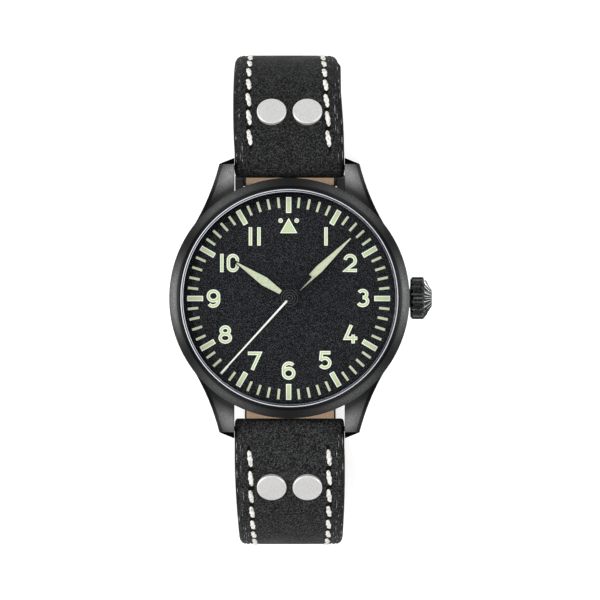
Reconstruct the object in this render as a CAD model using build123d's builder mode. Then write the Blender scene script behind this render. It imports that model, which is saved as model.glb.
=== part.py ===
from build123d import *
from math import atan2, cos, degrees, hypot, pi, radians, sin, sqrt
import os

os.makedirs("parts", exist_ok=True)

# Frame: +Z up through the dial, +Y to twelve o'clock, +X to the crown.
# The origin is the point of the table straight under the middle of the dial.

# Case, lugs and bezel
case_diameter = 39.2
case_wall = 2.0
case_height = 8.1
case_foot_height = 0.5
case_foot_inset = 0.55
case_foot_rise = 0.8
case_shoulder_drop = 0.5
case_shoulder_inset = 0.25
bezel_height = 2.25
bezel_band_inset = 1.35
bezel_edge_height = 0.55
bezel_lip_width = 0.35
bezel_seat_height = 1.25
bezel_seat_width = 0.35

lug_overhang = 3.45
lug_gap = 18.2
lug_root_angle = 28.3
lug_root_overlap = 6.0
lug_waist_reach = 1.87
lug_waist_angle = 52.4
lug_edge_bevel = 0.6
lug_tip_width = 2.4
lug_tip_slant = 1.05
lug_top_height = 7.7
lug_knee_height = 5.5
lug_knee_inset = 1.1
lug_nose_height = 3.3
lug_foot_height = 0.9
lug_foot_inset = 1.55
lug_underside_height = 0.15

# Case back and its seal
back_edge_width = 1.25
back_thickness = 1.0
back_fit_clearance = 0.05
back_thread_height = 1.5
back_thread_width = 1.1
back_notch_count = 6
back_notch_width = 2.6
back_notch_depth = 0.45
back_notch_reach = 1.3
back_seal_width = 0.5
back_seal_height = 0.3

# Crystal, flange and dial
crystal_inset = 1.9
crystal_edge_height = 1.05
crystal_dome_rise = 0.85
crystal_hollow_rise = 0.5
crystal_bevel = 0.18
flange_top_width = 0.12
flange_foot_width = 0.4
dial_inset = 2.15
dial_thickness = 0.4
dial_top_height = 7.7
dial_hole_radius = 1.0
dial_foot_radius = 0.4
dial_foot_length = 0.9
dial_foot_inset = 1.4
dial_foot_angles = (100, 280)

# Hands at 10:07:37, as angles clockwise from twelve
hour_angle = 303.8
minute_angle = 45.7
seconds_angle = 222.3
hand_thickness = 0.15
lume_thickness = 0.12
hour_hand_height = 8.15
minute_hand_height = 8.55
seconds_hand_height = 8.95
hour_hand_gap = 6.7
hour_hand_width = 1.9
hour_hand_wide_reach = 4.9
hour_hub_radius = 1.5
minute_hand_gap = 1.0
minute_hand_width = 1.65
minute_hand_wide_reach = 6.9
minute_needle_length = 2.1
minute_needle_width = 0.36
minute_hub_radius = 1.05
seconds_hand_gap = 1.0
seconds_hand_width = 0.34
seconds_tail_length = 5.0
seconds_tail_width = 0.87
seconds_tail_start = 1.4
seconds_hub_radius = 0.6
hand_root_width = 0.7
hand_frame_width = 0.2
hour_lume_start = 1.7
hour_lume_gap = 0.4
minute_lume_start = 2.0
minute_lume_gap = 2.5
hub_lift = 0.14

# Movement plates
movement_radius = 12.8
plate_low = 5.3
plate_high = 7.3
plate_recess_radius = 5.4
plate_recess_depth = 0.95
bridge_low = 1.75
bridge_thickness = 0.8
bridge_rim_clearance = 0.55
bridge_cut_y = -5.2
pillar_radius = 1.0
pillar_inset = 1.5
pillar_arm_width = 2.4
arm_low = 2.4
arm_thickness = 0.5
arm_overlap = 0.55
arm_root = 3.0
ring_outer_clearance = 0.15
ring_wall = 0.6
ring_web = 0.9
ring_low = 4.6
pivot_radius = 0.15
arbor_radius = 0.3
bearing_clearance = 0.03
bearing_radius = 0.65
bearing_thickness = 0.35
running_gap = 0.06

# Wheels, as tooth counts, levels above the case back and distances
barrel_teeth = 78
center_pinion_teeth = 12
center_teeth = 64
third_pinion_teeth = 8
third_teeth = 60
fourth_pinion_teeth = 8
fourth_teeth = 72
escape_pinion_teeth = 6
escape_teeth = 15
cannon_teeth = 12
minute_wheel_teeth = 36
minute_pinion_teeth = 10
hour_teeth = 40
winding_pinion_teeth = 12
crown_wheel_teeth = 24
ratchet_teeth = 50
barrel_distance = 6.3
barrel_angle = 55.8
third_distance = 5.4
third_angle = 175
escape_distance = 5.35
escape_angle = -60
minute_wheel_distance = 2.88
minute_wheel_angle = 240
balance_x = -3.6
balance_y = -7.45
wheel_thickness = 0.2
wheel_rim_width = 0.75
wheel_arm_width = 0.5
wheel_hub_radius = 1.3
pinion_thickness = 0.36
third_wheel_low = 3.0
fourth_wheel_low = 3.4
center_wheel_low = 3.75
center_pinion_low = 4.1
center_pinion_thickness = 0.7
barrel_low = 4.05
barrel_high = 5.24
barrel_wall = 0.25
barrel_tooth_low = 4.2
barrel_tooth_thickness = 0.4
barrel_arbor_radius = 0.5
barrel_core_radius = 0.75
mainspring_thickness = 0.16
mainspring_turns = 6
ratchet_low = 2.62
ratchet_thickness = 0.25
crown_wheel_x = 7.55
center_tube_radius = 0.42
center_bore_radius = 0.22
minute_wheel_low = 6.45
hour_wheel_low = 6.9
hour_pipe_radius = 0.75
hour_bore_radius = 0.46
escape_low = 4.1
escape_radius = 2.2
escape_root_radius = 1.75
escape_rim_width = 0.3
pallet_distance = 2.75
pallet_arm_width = 0.45
pallet_stone_gap = 0.22
pallet_stone_width = 0.4
pallet_stone_height = 0.7
pallet_spread_angle = 30
fork_slot_width = 0.42
fork_prong_width = 0.22
fork_depth = 0.55
fork_reach_gap = 0.05
balance_radius = 3.7
balance_rim_width = 0.5
balance_low = 4.65
balance_thickness = 0.35
balance_arm_width = 0.55
roller_radius = 0.95
roller_low = 4.38
roller_thickness = 0.17
impulse_pin_radius = 0.12
impulse_pin_reach = 0.7
hairspring_low = 2.96
hairspring_height = 0.16
hairspring_thickness = 0.08
hairspring_inner_radius = 0.75
hairspring_pitch = 0.24
hairspring_turns = 7
cock_width = 2.6
cock_foot_turn = 32

# Rotor
rotor_edge_gap = 0.2
rotor_low = 1.3
rotor_plate_thickness = 0.3
rotor_rim_width = 2.3
rotor_rim_height = 1.0
rotor_hub_radius = 2.1
rotor_window_radius = 1.6
rotor_window_reach = 6.6
rotor_post_radius = 0.9
rotor_post_low = 1.06
rotor_post_flange_radius = 1.5
rotor_post_flange_thickness = 0.18

# Winding stem and crown
stem_height = 4.1
stem_radius = 0.45
stem_inner_x = 7.2
winding_pinion_x = 9.65
winding_pinion_length = 0.95
winding_pinion_radius = 1.3
clutch_x = 7.75
clutch_length = 1.5
clutch_radius = 1.05
clutch_groove_depth = 0.25
clutch_groove_length = 0.4
keyless_pocket_depth = 0.35
keyless_pocket_margin = 0.5
tube_radius = 1.6
tube_bore_radius = 0.95
tube_reach_in = 0.55
tube_reach_out = 1.15
crown_radius = 3.5
crown_gap = 0.25
crown_grip_length = 2.05
crown_length = 3.5
crown_face_radius = 1.8
crown_inner_chamfer = 0.35
crown_flute_count = 18
crown_flute_radius = 0.52
crown_flute_depth = 0.26
crown_cavity_radius = 2.05
crown_cavity_depth = 2.2
crown_boss_radius = 0.8
crown_seal_width = 0.3
crown_seal_length = 0.5

# Spring bars
bar_height = 2.2
bar_inset = 1.55
bar_radius = 0.75
bar_pivot_radius = 0.4
bar_pivot_length = 0.75
bar_shoulder_clearance = 0.15
bar_hole_clearance = 0.03
strap_bore_clearance = 0.08

# Strap, as a path of tangent arcs and runs from each spring bar
strap_pitch_angle = 7
strap_upper_radius = 21.2
strap_lower_radius_6 = 20.0
strap_lower_radius_12 = 14.0
strap_side_run_6 = 5.5
strap_flat_run_12 = 5.3
strap_end_clearance = 0.25
strap_side_clearance = 0.05
strap_taper = 2.1
strap_end_thickness = 3.4
strap_pad_thickness = 4.2
strap_thin_thickness = 2.6
strap_tail_thickness = 2.2
strap_lining_thickness = 0.9
strap_lining_inset = 0.15
strap_shoulder_drop = 0.95
strap_shoulder_width = 1.3
strap_crown_drop = 0.35
strap_swell_run = 5.0
strap_pad_run = 15.0
strap_taper_start = 27.0
strap_taper_end = 36.5
strap_arc_steps = 7
tail_tip_y = 27.0
tail_point_length = 8.0
tail_tip_width = 5.0
tail_hole_count = 5
tail_hole_pitch = 6.0
tail_hole_radius = 0.95
tail_first_hole_y = 9.0

# Rivets
rivet_run_12 = 8.7
rivet_run_6 = 9.2
rivet_spacing = 5.9
rivet_radius = 2.43
rivet_head_height = 0.35
rivet_head_bevel = 0.15
rivet_post_radius = 0.9
rivet_cap_radius = 1.9
rivet_cap_height = 0.3

# Buckle and keepers
buckle_bar_radius = 0.7
buckle_bar_end_radius = 0.5
buckle_side_clearance = 0.15
buckle_arm_width = 1.4
buckle_arm_height = 2.1
buckle_length = 11.0
buckle_front_width = 2.0
buckle_front_drop = 1.3
buckle_ear_radius = 1.3
buckle_corner_radius = 1.25
buckle_inner_corner_radius = 0.8
buckle_fit_clearance = 0.04
tang_width = 1.7
tang_thickness = 0.9
tang_overhang = 0.5
tang_eye_radius = 1.15
tang_slot_clearance = 0.35
tang_rest_gap = 0.12
keeper_length = 5.0
keeper_wall = 0.8
keeper_side_clearance = 0.2
keeper_inner_clearance = 0.35
fixed_keeper_run_back = 8.6
free_keeper_run_back = 16.6

rotor_window_angles = (215, 270, 325)
mainspring_steps = 16
hairspring_steps = 16
hook_lead_share = 0.42
hook_tip_share = 0.5
hook_root_share = 0.72
shoulder_least_share = 0.2
tooth_height_share = 0.5
tooth_root_share = 0.75
tooth_foot_share = 0.27
tooth_top_share = 0.12
cut_overrun = 1.0

# Levels and places worked out from the sizes above
case_radius = case_diameter / 2
case_bore_radius = case_radius - case_wall
back_radius = case_radius - back_edge_width
crystal_radius = case_radius - crystal_inset
lug_to_lug = case_diameter + 2 * lug_overhang
dial_radius = case_radius - dial_inset
hour_hand_length = dial_radius - hour_hand_gap
hour_lume_end = hour_hand_length - hour_lume_gap
minute_hand_length = dial_radius - minute_hand_gap
minute_needle_start = minute_hand_length - minute_needle_length
minute_lume_end = minute_hand_length - minute_lume_gap
seconds_hand_length = dial_radius - seconds_hand_gap
dial_foot_circle_radius = movement_radius - dial_foot_inset
pillar_circle_radius = movement_radius - pillar_inset
rotor_radius = movement_radius - rotor_edge_gap
bridge_radius = rotor_radius - rotor_rim_width - bridge_rim_clearance
crown_inner_x = case_radius + crown_gap
tube_inner_x = case_bore_radius - tube_reach_in
tube_outer_x = crown_inner_x + tube_reach_out
strap_end_width = lug_gap - 2 * strap_end_clearance
strap_full_width = lug_gap - 2 * strap_side_clearance
strap_buckle_width = strap_full_width - strap_taper
buckle_inner_width = strap_buckle_width + 2 * buckle_side_clearance
strap_drop = strap_upper_radius * cos(radians(strap_pitch_angle))
pivot_z = strap_tail_thickness / 2 + strap_lower_radius_6 + strap_side_run_6 + strap_drop
back_z = pivot_z - bar_height
pivot_y = lug_to_lug / 2 - bar_inset
stem_z = back_z + stem_height
bezel_top = case_height + bezel_height
bezel_seat = case_height + bezel_seat_height
seat = (Align.CENTER, Align.CENTER, Align.MIN)
along_x = Plane.YZ


def write(piece, name):
    """Label a finished piece and write it as a STEP file."""
    piece.part.label = name
    export_step(piece.part, f"parts/{name}.step")


def outline(plane, points):
    """Closed face through points on a plane."""
    with BuildSketch(plane) as face:
        with BuildLine():
            Polyline(*points, close=True)
        make_face()
    return face.sketch


def section(points):
    """Half section of a turned piece: radius and height above the case back."""
    return outline(Plane.XZ, [(radius, back_z + height) for radius, height in points])


def box_section(inner, outer, low, high):
    """Half section of a plain ring."""
    return section([(inner, low), (outer, low), (outer, high), (inner, high)])


def dome(radius, edge, rise):
    """Height of a ball cap over its edge plane, at a radius."""
    ball = (edge ** 2 + rise ** 2) / (2 * rise)
    return rise - ball + sqrt(ball ** 2 - radius ** 2)


def around(distance, angle):
    """Point at a distance and angle from the middle of the movement."""
    return distance * cos(radians(angle)), distance * sin(radians(angle))


def tooth_points(teeth, pitch_radius, phase):
    """Outline of a toothed wheel, one tooth standing at the phase angle."""
    module = 2 * pitch_radius / teeth
    root = pitch_radius - tooth_root_share * module
    tip = pitch_radius + tooth_height_share * module
    step = 360 / teeth
    points = []
    for tooth in range(teeth):
        middle = phase + tooth * step
        points += [around(root, middle - tooth_foot_share * step),
                   around(tip, middle - tooth_top_share * step),
                   around(tip, middle + tooth_top_share * step),
                   around(root, middle + tooth_foot_share * step)]
    return points


def wheel_face(center, low, teeth, pitch_radius, phase):
    """Toothed face at its level, round a wheel's own middle."""
    plane = Plane((center[0], center[1], back_z + low))
    return outline(plane, tooth_points(teeth, pitch_radius, phase))


def wheel_windows(center, low, pitch_radius):
    """Windows between the four arms of a wheel, to be cut from its disc."""
    with BuildSketch(Plane((center[0], center[1], back_z + low))) as windows:
        Circle(pitch_radius - wheel_rim_width)
        Circle(wheel_hub_radius, mode=Mode.SUBTRACT)
        Rectangle(2 * pitch_radius, wheel_arm_width, mode=Mode.SUBTRACT)
        Rectangle(wheel_arm_width, 2 * pitch_radius, mode=Mode.SUBTRACT)
    return windows.sketch


def mesh_phase(driver_phase, driver_teeth, teeth, direction):
    """Phase that puts a gap of the driven wheel over the driver's tooth."""
    gap = direction + 180 - (driver_phase - direction) * driver_teeth / teeth
    return gap + 180 / teeth


def pitch_radii(distance, teeth_a, teeth_b):
    """Pitch radii of two wheels that mesh at a distance."""
    return distance * teeth_a / (teeth_a + teeth_b), distance * teeth_b / (teeth_a + teeth_b)


def spiral_points(inner, pitch, turns, thickness, steps):
    """Closed outline of a flat spiral strip."""
    total = int(turns * steps)
    outer_edge = []
    inner_edge = []
    for step in range(total + 1):
        angle = 360 * step / steps
        reach = inner + pitch * step / steps
        outer_edge.append(around(reach + thickness / 2, angle))
        inner_edge.append(around(reach - thickness / 2, angle))
    return outer_edge + inner_edge[::-1]


# Case middle: a turned ring with four lugs whose flanks curve in
lug_tip_y = lug_to_lug / 2
root_x, root_y = around(case_radius, lug_root_angle)
waist_x, waist_y = around(case_radius + lug_waist_reach, lug_waist_angle)
with BuildPart() as lug:
    with BuildSketch(Plane.XY.offset(back_z)):
        with BuildLine():
            Line((lug_gap / 2, lug_tip_y), (lug_gap / 2, root_y - lug_root_overlap))
            Line((lug_gap / 2, root_y - lug_root_overlap), (root_x, root_y))
            ThreePointArc((root_x, root_y), (waist_x, waist_y),
                          (lug_gap / 2 + lug_tip_width, lug_tip_y - lug_tip_slant))
            Line((lug_gap / 2 + lug_tip_width, lug_tip_y - lug_tip_slant),
                 (lug_gap / 2, lug_tip_y))
        make_face()
    extrude(amount=case_height)
    with BuildSketch(along_x):
        with BuildLine():
            Polyline((0, back_z + case_foot_height), (waist_y, back_z + lug_underside_height),
                     (lug_tip_y - lug_foot_inset, back_z + lug_underside_height),
                     (lug_tip_y, back_z + lug_foot_height), (lug_tip_y, back_z + lug_nose_height),
                     (lug_tip_y - lug_knee_inset, back_z + lug_knee_height),
                     (root_y, back_z + lug_top_height), (0, back_z + lug_top_height), close=True)
        make_face()
    extrude(amount=case_radius, mode=Mode.INTERSECT)
    top_edges = [edge for edge in lug.edges() if edge.center().Z > back_z + lug_nose_height
                 and edge.center().X > lug_gap / 2 + lug_tip_width - lug_edge_bevel
                 and edge.center().Y > root_y + lug_edge_bevel]
    chamfer(max(top_edges, key=lambda edge: edge.length), lug_edge_bevel)

with BuildPart() as case_middle:
    revolve(section([(case_bore_radius, back_thickness), (back_radius + back_fit_clearance, back_thickness),
                     (back_radius + back_fit_clearance, case_foot_height),
                     (case_radius - case_foot_inset, case_foot_height),
                     (case_radius, case_foot_height + case_foot_rise),
                     (case_radius, case_height - case_shoulder_drop),
                     (case_radius - case_shoulder_inset, case_height), (case_bore_radius, case_height)]),
            axis=Axis.Z)
    add(lug.part)
    add(mirror(lug.part, about=Plane.YZ, mode=Mode.PRIVATE))
    add(mirror(lug.part, about=Plane.XZ, mode=Mode.PRIVATE))
    add(mirror(mirror(lug.part, about=Plane.YZ, mode=Mode.PRIVATE), about=Plane.XZ, mode=Mode.PRIVATE))
    with Locations((0, 0, back_z + back_thickness)):
        Cylinder(case_bore_radius, case_height, align=seat, mode=Mode.SUBTRACT)
    with Locations((0, 0, back_z)):
        Cylinder(back_radius + back_fit_clearance, back_thickness, align=seat, mode=Mode.SUBTRACT)
    for side in (-1, 1):
        with Locations(Plane((0, side * pivot_y, pivot_z), z_dir=(1, 0, 0))):
            Cylinder(bar_pivot_radius + bar_hole_clearance, lug_gap + 2 * bar_pivot_length,
                     mode=Mode.SUBTRACT)
    with Locations(Plane((case_bore_radius - cut_overrun, 0, stem_z), z_dir=(1, 0, 0))):
        Cylinder(tube_radius, case_radius, align=seat, mode=Mode.SUBTRACT)
write(case_middle, "case_middle")

with BuildPart() as bezel:
    revolve(section([(case_bore_radius - bezel_seat_width, case_height),
                     (case_radius - case_shoulder_inset, case_height),
                     (case_radius, case_height + case_shoulder_inset),
                     (case_radius, case_height + bezel_edge_height),
                     (case_radius - bezel_band_inset, bezel_top),
                     (case_radius - bezel_band_inset - bezel_lip_width, bezel_top),
                     (case_radius - bezel_band_inset - bezel_lip_width, bezel_seat),
                     (case_bore_radius - bezel_seat_width, bezel_seat)]), axis=Axis.Z)
write(bezel, "bezel")

# Crystal: domed above, hollowed below, held by a pressed ring
seal_outer_radius = case_radius - bezel_band_inset - bezel_lip_width
dome_edge = bezel_seat + crystal_edge_height
hollow_radius = case_bore_radius - bezel_seat_width
dome_radius = crystal_radius - crystal_bevel
with BuildPart() as crystal:
    with BuildSketch(Plane.XZ):
        with BuildLine():
            ThreePointArc((0, back_z + bezel_seat + crystal_hollow_rise),
                          (hollow_radius / 2, back_z + bezel_seat
                           + dome(hollow_radius / 2, hollow_radius, crystal_hollow_rise)),
                          (hollow_radius, back_z + bezel_seat))
            Polyline((hollow_radius, back_z + bezel_seat), (crystal_radius, back_z + bezel_seat),
                     (crystal_radius, back_z + dome_edge - crystal_bevel),
                     (dome_radius, back_z + dome_edge))
            ThreePointArc((dome_radius, back_z + dome_edge),
                          (dome_radius / 2, back_z + dome_edge
                           + dome(dome_radius / 2, dome_radius, crystal_dome_rise)),
                          (0, back_z + dome_edge + crystal_dome_rise))
            Line((0, back_z + dome_edge + crystal_dome_rise), (0, back_z + bezel_seat + crystal_hollow_rise))
        make_face()
    revolve(axis=Axis.Z)
write(crystal, "crystal")

with BuildPart() as crystal_seal:
    revolve(box_section(crystal_radius, seal_outer_radius, bezel_seat, bezel_top - crystal_bevel), axis=Axis.Z)
write(crystal_seal, "crystal_seal")

with BuildPart() as flange:
    revolve(section([(dial_radius - flange_foot_width, dial_top_height), (case_bore_radius, dial_top_height),
                     (case_bore_radius, case_height), (case_bore_radius - bezel_seat_width, case_height),
                     (case_bore_radius - bezel_seat_width, bezel_seat),
                     (case_bore_radius - bezel_seat_width - flange_top_width, bezel_seat)]), axis=Axis.Z)
write(flange, "flange")

# Case back: a screwed cover with a threaded rim and six key notches
with BuildPart() as case_back:
    revolve(section([(0, 0), (back_radius - crystal_bevel, 0), (back_radius, crystal_bevel),
                     (back_radius, back_thickness), (case_bore_radius - back_fit_clearance, back_thickness),
                     (case_bore_radius - back_fit_clearance, back_thickness + back_thread_height),
                     (case_bore_radius - back_thread_width, back_thickness + back_thread_height),
                     (case_bore_radius - back_thread_width, back_thickness), (0, back_thickness)]),
            axis=Axis.Z)
    with BuildSketch(Plane.XY.offset(back_z)):
        with PolarLocations(back_radius - back_notch_reach, back_notch_count, start_angle=30):
            Rectangle(back_notch_reach, back_notch_width)
    extrude(amount=back_notch_depth, mode=Mode.SUBTRACT)
    revolve(box_section(case_bore_radius + back_fit_clearance, case_bore_radius + back_fit_clearance
                        + back_seal_width, back_thickness - back_seal_height, back_thickness),
            axis=Axis.Z, mode=Mode.SUBTRACT)
write(case_back, "case_back")

with BuildPart() as back_seal:
    revolve(box_section(case_bore_radius + back_fit_clearance, case_bore_radius + back_fit_clearance
                        + back_seal_width, back_thickness - back_seal_height, back_thickness), axis=Axis.Z)
write(back_seal, "back_seal")

with BuildPart() as movement_ring:
    revolve(box_section(movement_radius, case_bore_radius - ring_outer_clearance, ring_low, plate_high),
            axis=Axis.Z)
    revolve(box_section(movement_radius + ring_wall, case_bore_radius - ring_outer_clearance - ring_wall,
                        ring_low, plate_high - ring_web), axis=Axis.Z, mode=Mode.SUBTRACT)
    with Locations(Plane((movement_radius - cut_overrun, 0, stem_z), z_dir=(1, 0, 0))):
        Cylinder(tube_radius + back_fit_clearance, case_radius, align=seat, mode=Mode.SUBTRACT)
write(movement_ring, "movement_ring")

# Dial with its two feet, and the plates of the movement
with BuildPart() as dial:
    with Locations((0, 0, back_z + dial_top_height - dial_thickness)):
        Cylinder(dial_radius, dial_thickness, align=seat)
    for angle in dial_foot_angles:
        with Locations((*around(dial_foot_circle_radius, angle), back_z + plate_high - dial_foot_length)):
            Cylinder(dial_foot_radius, dial_foot_length, align=seat)
    with Locations((0, 0, back_z + dial_top_height - dial_thickness)):
        Cylinder(dial_hole_radius, dial_thickness, align=seat, mode=Mode.SUBTRACT)
write(dial, "dial")

barrel_center = around(barrel_distance, barrel_angle)
third_center = around(third_distance, third_angle)
escape_center = around(escape_distance, escape_angle)
minute_wheel_center = around(minute_wheel_distance, minute_wheel_angle)
balance_center = (balance_x, balance_y)
escape_to_balance = degrees(atan2(balance_y - escape_center[1], balance_x - escape_center[0]))
pallet_center = (escape_center[0] + around(pallet_distance, escape_to_balance)[0],
                 escape_center[1] + around(pallet_distance, escape_to_balance)[1])
pillar_angles = (-24, 100, 140, 215)
cock_angle = degrees(atan2(balance_y, balance_x))
cock_foot = around(pillar_circle_radius, cock_angle + cock_foot_turn)
plate_pivots = [third_center, escape_center, pallet_center, balance_center]
bridge_pivots = [(0, 0), third_center, escape_center, pallet_center]

with BuildPart() as main_plate:
    with Locations((0, 0, back_z + plate_low)):
        Cylinder(movement_radius, plate_high - plate_low, align=seat)
    with Locations((0, 0, back_z + plate_high - plate_recess_depth)):
        Cylinder(plate_recess_radius, plate_recess_depth, align=seat, mode=Mode.SUBTRACT)
    with Locations((0, 0, back_z + plate_low)):
        Cylinder(center_tube_radius + bearing_clearance, plate_high - plate_low, align=seat, mode=Mode.SUBTRACT)
    for place in plate_pivots:
        with Locations((*place, back_z + plate_low)):
            Cylinder(bearing_radius, bearing_thickness, align=seat, mode=Mode.SUBTRACT)
    for angle in dial_foot_angles:
        with Locations((*around(dial_foot_circle_radius, angle), back_z + plate_high - dial_foot_length)):
            Cylinder(dial_foot_radius + bearing_clearance, dial_foot_length, align=seat, mode=Mode.SUBTRACT)
    with Locations((stem_inner_x - keyless_pocket_margin, 0, back_z + plate_low)):
        Box(movement_radius, 2 * winding_pinion_radius + 2 * keyless_pocket_depth, keyless_pocket_depth,
            align=(Align.MIN, Align.CENTER, Align.MIN), mode=Mode.SUBTRACT)
    with Locations((*minute_wheel_center, back_z + plate_high - plate_recess_depth)):
        Cylinder(arbor_radius, plate_recess_depth - running_gap, align=seat)
write(main_plate, "main_plate")

# Train bridge on four pillars, stepped down outside the rotor's rim
with BuildPart() as train_bridge:
    with BuildSketch(Plane.XY.offset(back_z + bridge_low)):
        Circle(bridge_radius)
        with Locations((0, bridge_cut_y - movement_radius)):
            Rectangle(2 * movement_radius, 2 * movement_radius, mode=Mode.SUBTRACT)
        with Locations(escape_center, pallet_center):
            Circle(2 * bearing_radius)
        for angle in pillar_angles:
            with Locations(Location((*around(bridge_radius - arm_root / 2, angle), 0), (0, 0, angle))):
                Rectangle(arm_root, pillar_arm_width)
    extrude(amount=bridge_thickness)
    with BuildSketch(Plane.XY.offset(back_z + arm_low)):
        for angle in pillar_angles:
            reach = pillar_circle_radius - bridge_radius + arm_overlap
            with Locations(Location((*around(pillar_circle_radius - reach / 2, angle), 0), (0, 0, angle))):
                Rectangle(reach, pillar_arm_width)
            with Locations(around(pillar_circle_radius, angle)):
                Circle(pillar_arm_width / 2)
    extrude(amount=arm_thickness)
    with Locations(*[(*around(pillar_circle_radius, angle), back_z + arm_low) for angle in pillar_angles]):
        Cylinder(pillar_radius, plate_low - arm_low, align=seat)
    with Locations(*[(*place, back_z + bridge_low + bridge_thickness - bearing_thickness)
                     for place in bridge_pivots]):
        Cylinder(bearing_radius, bearing_thickness, align=seat, mode=Mode.SUBTRACT)
    with Locations((*barrel_center, back_z + bridge_low + bridge_thickness - bearing_thickness)):
        Cylinder(barrel_arbor_radius + bearing_clearance, bearing_thickness, align=seat, mode=Mode.SUBTRACT)
write(train_bridge, "train_bridge")

# Balance cock: one foot outside the rim of the balance, an arm over its staff
with BuildPart() as balance_cock:
    cock_span = hypot(cock_foot[0] - balance_x, cock_foot[1] - balance_y)
    cock_turn = degrees(atan2(cock_foot[1] - balance_y, cock_foot[0] - balance_x))
    cock_middle = ((cock_foot[0] + balance_x) / 2, (cock_foot[1] + balance_y) / 2)
    with BuildSketch(Plane.XY.offset(back_z + bridge_low)):
        with Locations(cock_middle):
            SlotCenterToCenter(cock_span, cock_width, rotation=cock_turn)
        Circle(bridge_radius, mode=Mode.INTERSECT)
    extrude(amount=bridge_thickness)
    with BuildSketch(Plane.XY.offset(back_z + arm_low)):
        with Locations(cock_middle):
            SlotCenterToCenter(cock_span, cock_width, rotation=cock_turn)
        Circle(bridge_radius - arm_overlap, mode=Mode.SUBTRACT)
    extrude(amount=arm_thickness)
    with Locations((*cock_foot, back_z + arm_low)):
        Cylinder(pillar_radius, plate_low - arm_low, align=seat)
    with Locations((*balance_center, back_z + bridge_low + bridge_thickness - bearing_thickness)):
        Cylinder(bearing_radius, bearing_thickness, align=seat, mode=Mode.SUBTRACT)
write(balance_cock, "balance_cock")

# Bearings: pressed rings for the pivots, one group in the plate and one in the bridges
bearing_bore = pivot_radius + bearing_clearance
for name, places, low in (("plate_bearings", plate_pivots, plate_low),
                          ("bridge_bearings", bridge_pivots + [balance_center],
                           bridge_low + bridge_thickness - bearing_thickness)):
    with BuildPart() as bearings:
        with Locations(*[(*place, back_z + low) for place in places]):
            Cylinder(bearing_radius, bearing_thickness, align=seat)
            Cylinder(bearing_bore, bearing_thickness, align=seat, mode=Mode.SUBTRACT)
    write(bearings, name)

with BuildPart() as rotor_post:
    with Locations((0, 0, back_z + rotor_post_low)):
        Cylinder(rotor_post_radius, bridge_low - rotor_post_low, align=seat)
        Cylinder(rotor_post_flange_radius, rotor_post_flange_thickness, align=seat)
write(rotor_post, "rotor_post")

with BuildPart() as rotor:
    with BuildSketch(Plane.XY.offset(back_z + rotor_low)):
        Circle(rotor_radius)
        with Locations((0, rotor_radius)):
            Rectangle(2 * rotor_radius, 2 * rotor_radius, mode=Mode.SUBTRACT)
        with Locations(*[around(rotor_window_reach, angle) for angle in rotor_window_angles]):
            Circle(rotor_window_radius, mode=Mode.SUBTRACT)
        Circle(rotor_hub_radius)
    extrude(amount=rotor_plate_thickness)
    with BuildSketch(Plane.XY.offset(back_z + rotor_low)):
        Circle(rotor_radius)
        Circle(rotor_radius - rotor_rim_width, mode=Mode.SUBTRACT)
        with Locations((0, rotor_radius)):
            Rectangle(2 * rotor_radius, 2 * rotor_radius, mode=Mode.SUBTRACT)
    extrude(amount=rotor_rim_height)
    with Locations((0, 0, back_z + rotor_low)):
        Cylinder(rotor_post_radius + bearing_clearance, rotor_plate_thickness, align=seat, mode=Mode.SUBTRACT)
write(rotor, "rotor")


def arbor(place, low, high):
    """Arbor with a thin pivot at each end, which runs in the bearings."""
    shoulder_low = bridge_low + bridge_thickness + running_gap
    with Locations((*place, back_z + low)):
        Cylinder(pivot_radius, high - low, align=seat)
    with Locations((*place, back_z + shoulder_low)):
        Cylinder(arbor_radius, plate_low - running_gap - shoulder_low, align=seat)


pivot_low = bridge_low + bridge_thickness - bearing_thickness + running_gap
pivot_high = plate_low + bearing_thickness - running_gap

# Going train. Each wheel's teeth stand in the gaps of the one that drives it
center_radius, third_pinion_radius = pitch_radii(third_distance, center_teeth, third_pinion_teeth)
third_radius, fourth_pinion_radius = pitch_radii(third_distance, third_teeth, fourth_pinion_teeth)
fourth_radius, escape_pinion_radius = pitch_radii(escape_distance, fourth_teeth, escape_pinion_teeth)
barrel_radius, center_pinion_radius = pitch_radii(barrel_distance, barrel_teeth, center_pinion_teeth)
cannon_radius, minute_wheel_radius = pitch_radii(minute_wheel_distance, cannon_teeth, minute_wheel_teeth)
minute_pinion_radius, hour_radius = pitch_radii(minute_wheel_distance, minute_pinion_teeth, hour_teeth)
third_pinion_phase = mesh_phase(0, center_teeth, third_pinion_teeth, third_angle)
third_phase = mesh_phase(0, fourth_pinion_teeth, third_teeth, third_angle)
escape_pinion_phase = mesh_phase(0, fourth_teeth, escape_pinion_teeth, escape_angle)
barrel_phase = mesh_phase(0, center_pinion_teeth, barrel_teeth, barrel_angle)
minute_wheel_phase = mesh_phase(0, cannon_teeth, minute_wheel_teeth, minute_wheel_angle)
minute_pinion_phase = mesh_phase(0, hour_teeth, minute_pinion_teeth, minute_wheel_angle)

with BuildPart() as barrel:
    drum_radius = barrel_radius - tooth_root_share * 2 * barrel_radius / barrel_teeth
    with Locations((*barrel_center, back_z + barrel_low)):
        Cylinder(drum_radius, barrel_high - barrel_low, align=seat)
    extrude(wheel_face(barrel_center, barrel_tooth_low, barrel_teeth, barrel_radius, barrel_phase),
            amount=barrel_tooth_thickness)
    with Locations((*barrel_center, back_z + barrel_low + barrel_wall)):
        Cylinder(drum_radius - barrel_wall, barrel_high - barrel_low - 2 * barrel_wall, align=seat,
                 mode=Mode.SUBTRACT)
    with Locations((*barrel_center, back_z + barrel_low)):
        Cylinder(barrel_arbor_radius + bearing_clearance, barrel_high - barrel_low, align=seat,
                 mode=Mode.SUBTRACT)
write(barrel, "barrel")

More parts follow.
